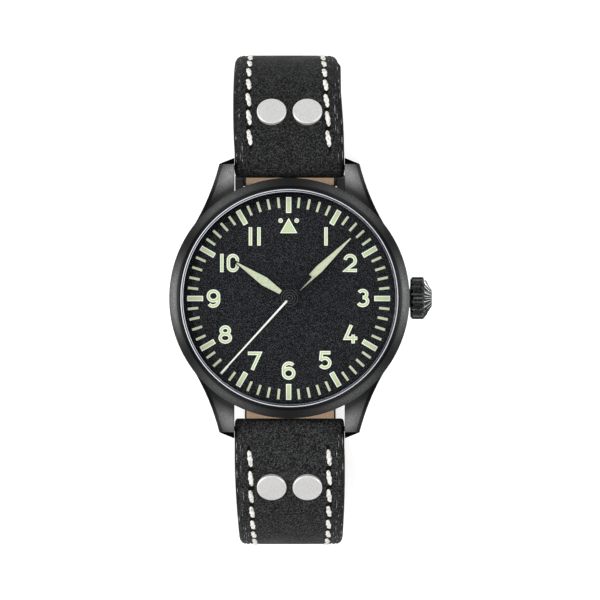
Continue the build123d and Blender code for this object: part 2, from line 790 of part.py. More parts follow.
with BuildPart() as mainspring:
    spring_room = drum_radius - 2 * barrel_wall - barrel_core_radius
    extrude(outline(Plane((*barrel_center, back_z + barrel_low + barrel_wall + running_gap)),
                    spiral_points(barrel_core_radius, spring_room / mainspring_turns, mainspring_turns,
                                  mainspring_thickness, mainspring_steps)),
            amount=barrel_high - barrel_low - 2 * barrel_wall - 2 * running_gap)
write(mainspring, "mainspring")

with BuildPart() as center_wheel:
    extrude(wheel_face((0, 0), center_wheel_low, center_teeth, center_radius, 0), amount=wheel_thickness)
    extrude(wheel_windows((0, 0), center_wheel_low, center_radius), amount=wheel_thickness,
            mode=Mode.SUBTRACT)
    extrude(wheel_face((0, 0), center_pinion_low, center_pinion_teeth, center_pinion_radius, 0),
            amount=center_pinion_thickness)
    with Locations((0, 0, back_z + center_wheel_low)):
        Cylinder(center_tube_radius, plate_high - plate_recess_depth + running_gap - center_wheel_low, align=seat)
        Cylinder(center_bore_radius, plate_high - center_wheel_low, align=seat, mode=Mode.SUBTRACT)
write(center_wheel, "center_wheel")

with BuildPart() as third_wheel:
    extrude(wheel_face(third_center, third_wheel_low, third_teeth, third_radius, third_phase),
            amount=wheel_thickness)
    extrude(wheel_windows(third_center, third_wheel_low, third_radius), amount=wheel_thickness,
            mode=Mode.SUBTRACT)
    extrude(wheel_face(third_center, center_wheel_low - (pinion_thickness - wheel_thickness) / 2,
                       third_pinion_teeth, third_pinion_radius, third_pinion_phase), amount=pinion_thickness)
    arbor(third_center, pivot_low, pivot_high)
write(third_wheel, "third_wheel")

with BuildPart() as seconds_wheel:
    extrude(wheel_face((0, 0), fourth_wheel_low, fourth_teeth, fourth_radius, 0), amount=wheel_thickness)
    extrude(wheel_windows((0, 0), fourth_wheel_low, fourth_radius), amount=wheel_thickness,
            mode=Mode.SUBTRACT)
    extrude(wheel_face((0, 0), third_wheel_low - (pinion_thickness - wheel_thickness) / 2,
                       fourth_pinion_teeth, fourth_pinion_radius, 0), amount=pinion_thickness)
    with Locations((0, 0, back_z + pivot_low)):
        Cylinder(pivot_radius, seconds_hand_height - pivot_low, align=seat)
    with Locations((0, 0, back_z + bridge_low + bridge_thickness + running_gap)):
        Cylinder(arbor_radius, fourth_wheel_low - bridge_low - bridge_thickness - running_gap, align=seat)
write(seconds_wheel, "seconds_wheel")

with BuildPart() as escape_wheel:
    escape_points = []
    for tooth in range(escape_teeth):
        middle = tooth * 360 / escape_teeth
        step = 360 / escape_teeth
        escape_points += [around(escape_root_radius, middle), around(escape_radius, middle + step * hook_lead_share),
                          around(escape_radius, middle + step * hook_tip_share),
                          around(escape_root_radius, middle + step * hook_root_share)]
    with BuildSketch(Plane((*escape_center, back_z + escape_low))):
        with BuildLine():
            Polyline(*escape_points, close=True)
        make_face()
        Circle(escape_root_radius - escape_rim_width, mode=Mode.SUBTRACT)
        with PolarLocations(0, 2):
            Rectangle(2 * escape_root_radius - escape_rim_width, escape_rim_width)
        Rectangle(escape_rim_width, 2 * escape_root_radius - escape_rim_width)
        Circle(2 * arbor_radius)
    extrude(amount=wheel_thickness)
    extrude(wheel_face(escape_center, fourth_wheel_low - (pinion_thickness - wheel_thickness) / 2,
                       escape_pinion_teeth, escape_pinion_radius, escape_pinion_phase), amount=pinion_thickness)
    arbor(escape_center, pivot_low, pivot_high)
write(escape_wheel, "escape_wheel")

# Pallet fork: an anchor that spans the escape wheel and a fork for the roller's pin
fork_turn = escape_to_balance
with BuildPart() as pallet_fork:
    pallet_plane = Plane((*pallet_center, back_z + escape_low), x_dir=(cos(radians(fork_turn)),
                                                                       sin(radians(fork_turn)), 0))
    balance_reach = hypot(balance_x - pallet_center[0], balance_y - pallet_center[1])
    fork_tip = balance_reach - impulse_pin_reach - impulse_pin_radius - fork_reach_gap
    stone_x, stone_y = (-pallet_distance + (escape_radius + pallet_stone_gap + pallet_stone_height / 2)
                        * cos(radians(pallet_spread_angle)),
                        (escape_radius + pallet_stone_gap + pallet_stone_height / 2)
                        * sin(radians(pallet_spread_angle)))
    with BuildSketch(pallet_plane):
        with Locations((fork_tip / 2, 0)):
            Rectangle(fork_tip, pallet_arm_width)
        for side in (-1, 1):
            with BuildLine():
                Polyline((0, 0), (pallet_arm_width, side * pallet_arm_width),
                         (stone_x + pallet_arm_width, side * stone_y), (stone_x, side * stone_y), close=True)
            make_face()
            with Locations(Location((stone_x, side * stone_y, 0), (0, 0, side * pallet_spread_angle))):
                Rectangle(pallet_stone_height, pallet_stone_width)
            with Locations((fork_tip - fork_depth / 2, side * (fork_slot_width + fork_prong_width) / 2)):
                Rectangle(fork_depth, fork_prong_width)
        with Locations((fork_tip - fork_depth / 2, 0)):
            Rectangle(fork_depth, fork_slot_width, mode=Mode.SUBTRACT)
        Circle(2 * arbor_radius)
    extrude(amount=wheel_thickness)
    arbor(pallet_center, pivot_low, pivot_high)
write(pallet_fork, "pallet_fork")

with BuildPart() as balance_wheel:
    with BuildSketch(Plane((*balance_center, back_z + balance_low))):
        Circle(balance_radius)
        Circle(balance_radius - balance_rim_width, mode=Mode.SUBTRACT)
        for turn in (0, 120, 240):
            with Locations(Location((*around(balance_radius / 2, turn), 0), (0, 0, turn))):
                Rectangle(balance_radius - balance_rim_width / 2, balance_arm_width)
        Circle(2 * arbor_radius)
    extrude(amount=balance_thickness)
    with Locations((*balance_center, back_z + roller_low)):
        Cylinder(roller_radius, roller_thickness, align=seat)
    pin_place = around(impulse_pin_reach, escape_to_balance + 180)
    with Locations((balance_x + pin_place[0], balance_y + pin_place[1], back_z + escape_low)):
        Cylinder(impulse_pin_radius, roller_low - escape_low, align=seat)
    arbor(balance_center, pivot_low, pivot_high)
write(balance_wheel, "balance_wheel")

with BuildPart() as hairspring:
    extrude(outline(Plane((*balance_center, back_z + hairspring_low)),
                    spiral_points(hairspring_inner_radius, hairspring_pitch, hairspring_turns,
                                  hairspring_thickness, hairspring_steps)), amount=hairspring_height)
    stud_place = around(hairspring_inner_radius + hairspring_pitch * hairspring_turns, 0)
    with Locations((balance_x + stud_place[0], balance_y + stud_place[1], back_z + hairspring_low)):
        Cylinder(pivot_radius, hairspring_height, align=seat)
write(hairspring, "hairspring")

# Motion work under the dial: cannon pinion, minute wheel and hour wheel
with BuildPart() as cannon_pinion:
    cannon_low = plate_high - plate_recess_depth + running_gap
    extrude(wheel_face((0, 0), cannon_low, cannon_teeth, cannon_radius, 0),
            amount=hour_wheel_low - running_gap - cannon_low)
    with Locations((0, 0, back_z + cannon_low)):
        Cylinder(center_tube_radius, minute_hand_height - cannon_low, align=seat)
        Cylinder(center_bore_radius, minute_hand_height - cannon_low, align=seat, mode=Mode.SUBTRACT)
write(cannon_pinion, "cannon_pinion")

with BuildPart() as minute_wheel:
    extrude(wheel_face(minute_wheel_center, minute_wheel_low, minute_wheel_teeth, minute_wheel_radius,
                       minute_wheel_phase), amount=wheel_thickness)
    extrude(wheel_face(minute_wheel_center, minute_wheel_low, minute_pinion_teeth, minute_pinion_radius,
                       minute_pinion_phase), amount=hour_wheel_low + wheel_thickness - minute_wheel_low)
    with Locations((*minute_wheel_center, back_z + minute_wheel_low)):
        Cylinder(arbor_radius + bearing_clearance, plate_high - minute_wheel_low, align=seat,
                 mode=Mode.SUBTRACT)
write(minute_wheel, "minute_wheel")

with BuildPart() as hour_wheel:
    extrude(wheel_face((0, 0), hour_wheel_low, hour_teeth, hour_radius, 0), amount=wheel_thickness)
    with Locations((0, 0, back_z + hour_wheel_low)):
        Cylinder(hour_pipe_radius, hour_hand_height - hour_wheel_low, align=seat)
        Cylinder(hour_bore_radius, hour_hand_height - hour_wheel_low, align=seat, mode=Mode.SUBTRACT)
write(hour_wheel, "hour_wheel")

# Winding work: stem, sliding clutch, winding pinion, crown wheel, ratchet wheel
winding_span = hypot(barrel_center[0] - crown_wheel_x, barrel_center[1])
winding_angle = degrees(atan2(barrel_center[1], barrel_center[0] - crown_wheel_x))
crown_wheel_pitch, ratchet_pitch = pitch_radii(winding_span, crown_wheel_teeth, ratchet_teeth)
crown_wheel_phase = 180 / crown_wheel_teeth
ratchet_phase = mesh_phase(crown_wheel_phase, crown_wheel_teeth, ratchet_teeth, winding_angle)
with BuildPart() as ratchet_wheel:
    extrude(wheel_face(barrel_center, ratchet_low, ratchet_teeth, ratchet_pitch, ratchet_phase),
            amount=ratchet_thickness)
    with Locations((*barrel_center, back_z + pivot_low)):
        Cylinder(barrel_arbor_radius, plate_low - running_gap - pivot_low, align=seat)
write(ratchet_wheel, "ratchet_wheel")

with BuildPart() as crown_wheel:
    extrude(wheel_face((crown_wheel_x, 0), ratchet_low, crown_wheel_teeth, crown_wheel_pitch,
                       crown_wheel_phase), amount=ratchet_thickness)
    with Locations((crown_wheel_x, 0, back_z + ratchet_low)):
        Cylinder(2 * arbor_radius + bearing_clearance, ratchet_thickness, align=seat, mode=Mode.SUBTRACT)
write(crown_wheel, "crown_wheel")

with BuildPart() as crown_wheel_core:
    with Locations((crown_wheel_x, 0, back_z + bridge_low + bridge_thickness)):
        Cylinder(2 * arbor_radius, ratchet_low + ratchet_thickness + running_gap - bridge_low
                 - bridge_thickness, align=seat)
    with Locations((crown_wheel_x, 0, back_z + ratchet_low + ratchet_thickness + running_gap)):
        Cylinder(4 * arbor_radius, running_gap * 2, align=seat)
write(crown_wheel_core, "crown_wheel_core")


def along_stem(distance):
    """Plane across the winding stem at a distance from the middle."""
    return Plane((distance, 0, stem_z), x_dir=(0, 0, -1), z_dir=(1, 0, 0))


with BuildPart() as winding_pinion:
    pinion_pitch = winding_pinion_radius / (1 + 2 * tooth_height_share / winding_pinion_teeth)
    extrude(outline(along_stem(winding_pinion_x), tooth_points(winding_pinion_teeth, pinion_pitch, 0)),
            amount=winding_pinion_length)
    with Locations(along_stem(winding_pinion_x)):
        Cylinder(stem_radius + bearing_clearance, winding_pinion_length, align=seat, mode=Mode.SUBTRACT)
write(winding_pinion, "winding_pinion")

with BuildPart() as clutch_wheel:
    with Locations(along_stem(clutch_x)):
        Cylinder(clutch_radius, clutch_length, align=seat)
    with Locations(along_stem(clutch_x + clutch_groove_length)):
        Cylinder(clutch_radius, clutch_groove_length, align=seat, mode=Mode.SUBTRACT)
        Cylinder(clutch_radius - clutch_groove_depth, clutch_groove_length, align=seat)
    with Locations(along_stem(clutch_x)):
        Cylinder(stem_radius + bearing_clearance, clutch_length, align=seat, mode=Mode.SUBTRACT)
write(clutch_wheel, "clutch_wheel")

crown_floor = crown_inner_x + crown_cavity_depth
with BuildPart() as winding_stem:
    with Locations(along_stem(stem_inner_x)):
        Cylinder(stem_radius, crown_floor - stem_inner_x, align=seat)
write(winding_stem, "winding_stem")

with BuildPart() as crown_tube:
    with Locations(along_stem(tube_inner_x)):
        Cylinder(tube_radius, tube_outer_x - tube_inner_x, align=seat)
        Cylinder(tube_bore_radius, tube_outer_x - tube_inner_x, align=seat, mode=Mode.SUBTRACT)
write(crown_tube, "crown_tube")

# Crown: a fluted grip that tapers to its face, hollow over the tube
with BuildPart() as crown:
    grip_end = crown_inner_x + crown_grip_length
    crown_end = crown_inner_x + crown_length
    with BuildSketch(Plane.XZ):
        with BuildLine():
            Polyline((crown_inner_x, stem_z), (crown_inner_x, stem_z + crown_radius - crown_inner_chamfer),
                     (crown_inner_x + crown_inner_chamfer, stem_z + crown_radius),
                     (grip_end, stem_z + crown_radius), (crown_end, stem_z + crown_face_radius),
                     (crown_end, stem_z), close=True)
        make_face()
    revolve(axis=Axis((0, 0, stem_z), (1, 0, 0)))
    for flute in range(crown_flute_count):
        angle = 360 * flute / crown_flute_count
        reach = crown_radius + crown_flute_radius - crown_flute_depth
        end_reach = crown_face_radius + crown_flute_radius - crown_flute_depth
        flute_y, flute_z = around(reach, angle)
        end_y, end_z = around(end_reach, angle)
        with Locations(Plane((crown_inner_x - cut_overrun, flute_y, stem_z + flute_z), z_dir=(1, 0, 0))):
            Cylinder(crown_flute_radius, crown_grip_length + cut_overrun, align=seat, mode=Mode.SUBTRACT)
        slant = Vector(crown_end - grip_end, end_y - flute_y, end_z - flute_z)
        with Locations(Plane((grip_end, flute_y, stem_z + flute_z), z_dir=slant)):
            Cylinder(crown_flute_radius, slant.length + cut_overrun, align=seat, mode=Mode.SUBTRACT)
    with Locations(along_stem(crown_inner_x)):
        Cylinder(crown_cavity_radius, crown_cavity_depth, align=seat, mode=Mode.SUBTRACT)
        Cylinder(crown_boss_radius, crown_cavity_depth, align=seat)
        Cylinder(stem_radius, crown_cavity_depth, align=seat, mode=Mode.SUBTRACT)
write(crown, "crown")

with BuildPart() as crown_seal:
    with Locations(along_stem(crown_inner_x + crown_inner_chamfer)):
        Cylinder(crown_cavity_radius, crown_seal_length, align=seat)
        Cylinder(crown_cavity_radius - crown_seal_width, crown_seal_length, align=seat, mode=Mode.SUBTRACT)
write(crown_seal, "crown_seal")


def hand_points(angle, stations):
    """Outline of a hand that points at an angle clockwise from twelve."""
    along = (sin(radians(angle)), cos(radians(angle)))
    right = [(along[0] * reach + along[1] * half, along[1] * reach - along[0] * half)
             for reach, half in stations]
    left = [(along[0] * reach - along[1] * half, along[1] * reach + along[0] * half)
            for reach, half in reversed(stations)]
    return right + left


def hand_plane(height):
    """Plane at a height above the case back."""
    return Plane.XY.offset(back_z + height)


# Hands: black blades with a window that holds the lume
hour_lume_points = hand_points(hour_angle, [
    (hour_lume_start, hand_root_width / 2), (hour_hand_wide_reach, hour_hand_width / 2 - hand_frame_width),
    (hour_lume_end, hand_frame_width / 2)])
minute_lume_points = hand_points(minute_angle, [
    (minute_lume_start, hand_root_width / 2), (minute_hand_wide_reach, minute_hand_width / 2 - hand_frame_width),
    (minute_lume_end, hand_frame_width / 2)])
with BuildPart() as hour_hand:
    extrude(outline(hand_plane(hour_hand_height), hand_points(hour_angle, [
        (0, hand_root_width / 2 + hand_frame_width), (hour_lume_start, hand_root_width / 2 + hand_frame_width),
        (hour_hand_wide_reach, hour_hand_width / 2), (hour_hand_length, hand_frame_width)])),
        amount=hand_thickness)
    with Locations((0, 0, back_z + hour_hand_height - hub_lift)):
        Cylinder(hour_hub_radius, hand_thickness + hub_lift, align=seat)
        Cylinder(hour_pipe_radius, hub_lift, align=seat, mode=Mode.SUBTRACT)
    with Locations((0, 0, back_z + hour_hand_height)):
        Cylinder(hour_bore_radius, hand_thickness, align=seat, mode=Mode.SUBTRACT)
    extrude(outline(hand_plane(hour_hand_height), hour_lume_points), amount=hand_thickness, mode=Mode.SUBTRACT)
write(hour_hand, "hour_hand")

with BuildPart() as hour_lume:
    extrude(outline(hand_plane(hour_hand_height), hour_lume_points), amount=lume_thickness)
write(hour_lume, "hour_lume")

with BuildPart() as minute_hand:
    extrude(outline(hand_plane(minute_hand_height), hand_points(minute_angle, [
        (0, hand_root_width / 2 + hand_frame_width),
        (minute_lume_start, hand_root_width / 2 + hand_frame_width),
        (minute_hand_wide_reach, minute_hand_width / 2), (minute_needle_start, minute_needle_width / 2),
        (minute_hand_length, minute_needle_width / 4)])), amount=hand_thickness)
    with Locations((0, 0, back_z + minute_hand_height - hub_lift)):
        Cylinder(minute_hub_radius, hand_thickness + hub_lift, align=seat)
        Cylinder(center_tube_radius, hub_lift, align=seat, mode=Mode.SUBTRACT)
    with Locations((0, 0, back_z + minute_hand_height)):
        Cylinder(center_bore_radius, hand_thickness, align=seat, mode=Mode.SUBTRACT)
    extrude(outline(hand_plane(minute_hand_height), minute_lume_points), amount=hand_thickness,
            mode=Mode.SUBTRACT)
write(minute_hand, "minute_hand")

with BuildPart() as minute_lume:
    extrude(outline(hand_plane(minute_hand_height), minute_lume_points), amount=lume_thickness)
write(minute_lume, "minute_lume")

with BuildPart() as seconds_hand:
    extrude(outline(hand_plane(seconds_hand_height), hand_points(seconds_angle + 180, [
        (0, seconds_hand_width / 2), (seconds_tail_start, seconds_hand_width / 2),
        (seconds_tail_start, seconds_tail_width / 2), (seconds_tail_length, seconds_tail_width / 2)])),
        amount=hand_thickness)
    with Locations((0, 0, back_z + seconds_hand_height - hub_lift)):
        Cylinder(seconds_hub_radius, hand_thickness + 2 * hub_lift, align=seat)
        Cylinder(pivot_radius, hub_lift, align=seat, mode=Mode.SUBTRACT)
write(seconds_hand, "seconds_hand")

with BuildPart() as seconds_needle:
    extrude(outline(hand_plane(seconds_hand_height), hand_points(seconds_angle, [
        (seconds_hub_radius, seconds_hand_width / 2), (seconds_hand_length, seconds_hand_width / 3)])),
        amount=hand_thickness)
    with Locations((0, 0, back_z + seconds_hand_height)):
        Cylinder(seconds_hub_radius, hand_thickness, align=seat, mode=Mode.SUBTRACT)
write(seconds_needle, "seconds_needle")

# Spring bars between the lugs
for side, name in ((1, "spring_bar_12"), (-1, "spring_bar_6")):
    with BuildPart() as spring_bar:
        with Locations(Plane((0, side * pivot_y, pivot_z), z_dir=(1, 0, 0))):
            Cylinder(bar_radius, lug_gap - 2 * bar_shoulder_clearance)
            Cylinder(bar_pivot_radius, lug_gap + 2 * bar_pivot_length - 2 * bar_hole_clearance)
    write(spring_bar, name)

# Strap paths: pitched down from the bar, round an upper bend, down, round a lower bend
upper_run = strap_upper_radius * radians(90 - strap_pitch_angle)
upper_y = pivot_y + strap_upper_radius * (1 - sin(radians(strap_pitch_angle)))
upper_z = pivot_z - strap_drop


def strap_place(run, side_run, lower_radius):
    """Distance out, height and pitch of the strap's middle line at a run from the bar."""
    lower_run = lower_radius * pi / 2
    if run <= upper_run:
        pitch = radians(strap_pitch_angle) + run / strap_upper_radius
        rise = cos(radians(strap_pitch_angle)) - cos(pitch)
        return (pivot_y + strap_upper_radius * (sin(pitch) - sin(radians(strap_pitch_angle))),
                pivot_z - strap_upper_radius * rise, degrees(pitch))
    if run <= upper_run + side_run:
        return upper_y, upper_z - (run - upper_run), 90
    bend = min(run - upper_run - side_run, lower_run)
    pitch = pi / 2 + bend / lower_radius
    flat = max(run - upper_run - side_run - lower_run, 0)
    return (upper_y + lower_radius * (sin(pitch) - 1) - flat,
            upper_z - side_run + lower_radius * cos(pitch), degrees(pitch))


def strap_plane(side, run, side_run, lower_radius):
    """Plane across the strap: its Y axis points out of the loop."""
    out, height, pitch = strap_place(run, side_run, lower_radius)
    heading = (0, side * cos(radians(pitch)), -sin(radians(pitch)))
    return Plane((0, side * out, height), x_dir=(-side, 0, 0), z_dir=heading)


def strap_size(run, thin):
    """Width and thickness of the strap at a run from the bar."""
    if run < strap_swell_run:
        share = run / strap_swell_run
        return (strap_end_width + share * (strap_full_width - strap_end_width),
                strap_end_thickness + share * (strap_pad_thickness - strap_end_thickness))
    share = min(max((run - strap_pad_run) / (strap_taper_start - strap_pad_run), 0), 1)
    thickness = strap_pad_thickness + share * (thin - strap_pad_thickness)
    share = min(max((run - strap_taper_start) / (strap_taper_end - strap_taper_start), 0), 1)
    return strap_full_width + share * (strap_buckle_width - strap_full_width), thickness


def leather_points(width, thickness, thin):
    """Section of the outer leather: flat below, shouldered and crowned above."""
    fullness = max((thickness - thin) / (strap_pad_thickness - thin), shoulder_least_share)
    low = strap_lining_thickness - thickness / 2
    edge = thickness / 2 - strap_shoulder_drop * fullness
    shoulder = thickness / 2 - strap_crown_drop * fullness
    half = width / 2
    return [(-half, low), (half, low), (half, edge), (half - strap_shoulder_width, shoulder),
            (0, thickness / 2), (strap_shoulder_width - half, shoulder), (-half, edge)]


def lining_points(width, thickness):
    """Section of the lining, drawn in a little from the leather's edge."""
    half = width / 2 - strap_lining_inset
    top = strap_lining_thickness - thickness / 2
    return [(-half, -thickness / 2), (half, -thickness / 2), (half, top), (-half, top)]


def strap_runs(side_run, lower_radius, flat_run):
    """Runs at which the strap's sections stand."""
    runs = [0, strap_end_thickness / 2, strap_swell_run]
    step = (upper_run - strap_swell_run) / strap_arc_steps
    runs += [strap_swell_run + step * (count + 1) for count in range(strap_arc_steps)]
    low = upper_run + side_run
    if side_run > 0:
        runs.append(low)
    runs += [low + lower_radius * pi / 2 * (count + 1) / strap_arc_steps for count in range(strap_arc_steps)]
    if flat_run > 0:
        runs.append(low + lower_radius * pi / 2 + flat_run)
    return runs


halves = {
    "12": (1, 0, strap_lower_radius_12, strap_flat_run_12, strap_thin_thickness, rivet_run_12),
    "6": (-1, strap_side_run_6, strap_lower_radius_6, 0, strap_tail_thickness, rivet_run_6),
}
bar_y = upper_y - strap_lower_radius_12 - strap_flat_run_12
bar_z = upper_z - strap_lower_radius_12
tail_y = upper_y - strap_lower_radius_6

for half_name, (side, side_run, lower_radius, flat_run, thin, rivet_run) in halves.items():
    runs = strap_runs(side_run, lower_radius, flat_run)
    with BuildPart() as rivets:
        rivet_width, rivet_thickness = strap_size(rivet_run, thin)
        rivet_plane = strap_plane(side, rivet_run, side_run, lower_radius)
        across = Plane(rivet_plane.origin, x_dir=rivet_plane.x_dir, z_dir=rivet_plane.y_dir)
        with Locations(across):
            with Locations((rivet_spacing / 2, 0, 0), (-rivet_spacing / 2, 0, 0)):
                Cylinder(rivet_post_radius, rivet_thickness)
                with Locations((0, 0, rivet_thickness / 2 - strap_crown_drop)):
                    Cylinder(rivet_radius, rivet_head_height + strap_crown_drop, align=seat)
                with Locations((0, 0, -rivet_thickness / 2 - rivet_cap_height)):
                    Cylinder(rivet_cap_radius, rivet_cap_height, align=seat)
        tops = rivets.faces().filter_by(Axis(across.origin, across.z_dir)).group_by(
            Axis(across.origin, across.z_dir))[-1].edges()
        chamfer(tops, rivet_head_bevel)
    write(rivets, f"rivets_{half_name}")

    with BuildPart() as leather:
        sections = []
        for run in runs:
            width, thickness = strap_size(run, thin)
            sections.append(outline(strap_plane(side, run, side_run, lower_radius),
                                    leather_points(width, thickness, thin)))
        loft(sections=sections, ruled=True)
        with Locations(Plane((0, side * pivot_y, pivot_z), z_dir=(1, 0, 0))):
            Cylinder(strap_end_thickness / 2, strap_end_width)
            Cylinder(bar_radius + strap_bore_clearance, lug_gap, mode=Mode.SUBTRACT)
        if side > 0:
            end_width, end_thickness = strap_size(runs[-1], thin)
            with Locations(Plane((0, bar_y, bar_z), z_dir=(1, 0, 0))):
                Cylinder(end_thickness / 2, end_width)
                Cylinder(buckle_bar_radius, strap_full_width, mode=Mode.SUBTRACT)
            with Locations((0, bar_y - end_thickness, bar_z)):
                Box(tang_width + 2 * tang_slot_clearance, 2 * end_thickness + 2 * tang_eye_radius
                    + tang_slot_clearance, 2 * end_thickness, mode=Mode.SUBTRACT)
        else:
            tail_shape = [(strap_buckle_width / 2, -tail_y),
                          (strap_buckle_width / 2, tail_tip_y - tail_point_length),
                          (tail_tip_width / 2, tail_tip_y), (-tail_tip_width / 2, tail_tip_y),
                          (-strap_buckle_width / 2, tail_tip_y - tail_point_length),
                          (-strap_buckle_width / 2, -tail_y)]
            extrude(outline(Plane.XY, tail_shape), amount=strap_tail_thickness - strap_lining_thickness)
            with Locations(*[(0, tail_first_hole_y - hole * tail_hole_pitch, 0)
                             for hole in range(tail_hole_count)]):
                Cylinder(tail_hole_radius, strap_tail_thickness, align=seat, mode=Mode.SUBTRACT)
        add(rivets.part, mode=Mode.SUBTRACT)
    write(leather, f"strap_{half_name}")

    with BuildPart() as lining:
        sections = []
        for run in runs[1:]:
            width, thickness = strap_size(run, thin)
            sections.append(outline(strap_plane(side, run, side_run, lower_radius),
                                    lining_points(width, thickness)))
        loft(sections=sections, ruled=True)
        if side > 0:
            with Locations(Plane((0, bar_y, bar_z), z_dir=(1, 0, 0))):
                Cylinder(end_thickness / 2, strap_full_width, mode=Mode.SUBTRACT)
            with Locations((0, bar_y - end_thickness, bar_z)):
                Box(tang_width + 2 * tang_slot_clearance, 2 * end_thickness + 2 * tang_eye_radius
                    + tang_slot_clearance, 2 * end_thickness, mode=Mode.SUBTRACT)
        else:
            inner_shape = [(x - strap_lining_inset * (x > 0) + strap_lining_inset * (x < 0), y)
                           for x, y in tail_shape]
            extrude(outline(Plane.XY.offset(strap_tail_thickness - strap_lining_thickness), inner_shape),
                    amount=strap_lining_thickness)
            with Locations(*[(0, tail_first_hole_y - hole * tail_hole_pitch, 0)
                             for hole in range(tail_hole_count)]):
                Cylinder(tail_hole_radius, strap_tail_thickness, align=seat, mode=Mode.SUBTRACT)
        add(rivets.part, mode=Mode.SUBTRACT)
    write(lining, f"lining_{half_name}")

# Keepers: the fixed one by the buckle, the free one further up the bend
run_12 = upper_run + strap_lower_radius_12 * pi / 2 + strap_flat_run_12
for name, back in (("fixed_keeper", fixed_keeper_run_back), ("free_keeper", free_keeper_run_back)):
    with BuildPart() as keeper:
        keeper_width = strap_size(run_12 - back - keeper_length, strap_thin_thickness)[0]
        low = -strap_thin_thickness / 2 - keeper_inner_clearance
        high = strap_thin_thickness / 2 + keeper_inner_clearance + strap_tail_thickness
        inner_half = keeper_width / 2 + keeper_side_clearance
        keeper_plane = strap_plane(1, run_12 - back, 0, strap_lower_radius_12)
        with BuildSketch(keeper_plane.offset(-keeper_length / 2)):
            with Locations((0, (low + high) / 2)):
                Rectangle(2 * (inner_half + keeper_wall), high - low + 2 * keeper_wall)
                Rectangle(2 * inner_half, high - low, mode=Mode.SUBTRACT)
        extrude(amount=keeper_length)
    write(keeper, name)

# Pin buckle: bar, frame and tang
buckle_half = buckle_inner_width / 2
with BuildPart() as buckle_bar:
    with Locations(Plane((0, bar_y, bar_z), z_dir=(1, 0, 0))):
        Cylinder(buckle_bar_radius, strap_buckle_width)
        Cylinder(buckle_bar_end_radius, buckle_inner_width + 2 * buckle_arm_width)
write(buckle_bar, "buckle_bar")

with BuildPart() as buckle_frame:
    frame_half = buckle_half + buckle_arm_width
    with BuildSketch(Plane.XY.offset(bar_z - 2 * buckle_arm_height)):
        with Locations((0, bar_y + buckle_ear_radius - (buckle_length + buckle_ear_radius) / 2)):
            RectangleRounded(2 * frame_half, buckle_length + buckle_ear_radius, buckle_corner_radius)
        with Locations((0, bar_y + buckle_ear_radius - (buckle_length + buckle_ear_radius) / 2
                        + buckle_front_width)):
            RectangleRounded(2 * buckle_half, buckle_length + buckle_ear_radius, buckle_inner_corner_radius,
                             mode=Mode.SUBTRACT)
    extrude(amount=4 * buckle_arm_height)
    with BuildSketch(along_x):
        with BuildLine():
            Polyline((bar_y, bar_z - buckle_ear_radius), (bar_y, bar_z + buckle_ear_radius),
                     (bar_y - buckle_length + buckle_front_width,
                      bar_z - buckle_front_drop + buckle_arm_height / 2),
                     (bar_y - buckle_length, bar_z - buckle_front_drop + buckle_arm_height / 2),
                     (bar_y - buckle_length, bar_z - buckle_front_drop - buckle_arm_height / 2),
                     (bar_y - buckle_length + buckle_front_width,
                      bar_z - buckle_front_drop - buckle_arm_height / 2), close=True)
        make_face()
        with Locations((bar_y, bar_z)):
            Circle(buckle_ear_radius)
    extrude(amount=frame_half + cut_overrun, both=True, mode=Mode.INTERSECT)
    with Locations(Plane((0, bar_y, bar_z), z_dir=(1, 0, 0))):
        Cylinder(buckle_bar_end_radius + buckle_fit_clearance, 2 * frame_half + cut_overrun, mode=Mode.SUBTRACT)
write(buckle_frame, "buckle_frame")

with BuildPart() as buckle_tang:
    tang_top = bar_z - buckle_front_drop - buckle_arm_height / 2 - tang_rest_gap
    with BuildSketch(along_x):
        with BuildLine():
            Polyline((bar_y, bar_z), (bar_y - tang_eye_radius, bar_z),
                     (bar_y - buckle_length + buckle_front_width, tang_top),
                     (bar_y - buckle_length - tang_overhang, tang_top),
                     (bar_y - buckle_length - tang_overhang, tang_top - tang_thickness / 2),
                     (bar_y - buckle_length + buckle_front_width, tang_top - tang_thickness),
                     (bar_y, bar_z - tang_eye_radius), close=True)
        make_face()
        with Locations((bar_y, bar_z)):
            Circle(tang_eye_radius)
            Circle(buckle_bar_radius + buckle_fit_clearance, mode=Mode.SUBTRACT)
    extrude(amount=tang_width / 2, both=True)
write(buckle_tang, "buckle_tang")
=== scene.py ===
import bmesh
import bpy
import random
from math import ceil, cos, hypot, pi, radians, sin, sqrt
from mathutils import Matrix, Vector


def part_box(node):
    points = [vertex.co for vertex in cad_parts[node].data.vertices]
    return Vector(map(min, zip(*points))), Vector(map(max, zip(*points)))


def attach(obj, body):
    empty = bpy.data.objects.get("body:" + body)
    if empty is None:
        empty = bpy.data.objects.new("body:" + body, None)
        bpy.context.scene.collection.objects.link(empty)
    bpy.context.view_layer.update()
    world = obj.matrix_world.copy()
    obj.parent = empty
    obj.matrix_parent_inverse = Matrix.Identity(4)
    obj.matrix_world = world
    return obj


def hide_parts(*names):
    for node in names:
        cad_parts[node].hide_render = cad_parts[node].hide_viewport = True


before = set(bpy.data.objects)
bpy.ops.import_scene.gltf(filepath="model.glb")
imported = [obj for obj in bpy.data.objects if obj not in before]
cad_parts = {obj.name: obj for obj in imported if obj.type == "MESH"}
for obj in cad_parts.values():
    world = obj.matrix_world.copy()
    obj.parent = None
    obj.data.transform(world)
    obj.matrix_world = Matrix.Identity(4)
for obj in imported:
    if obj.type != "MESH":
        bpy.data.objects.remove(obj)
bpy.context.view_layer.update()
mm = 0.001
random.seed(1107)
scene = bpy.context.scene
print("frame loaded:", len(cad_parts), "nodes")


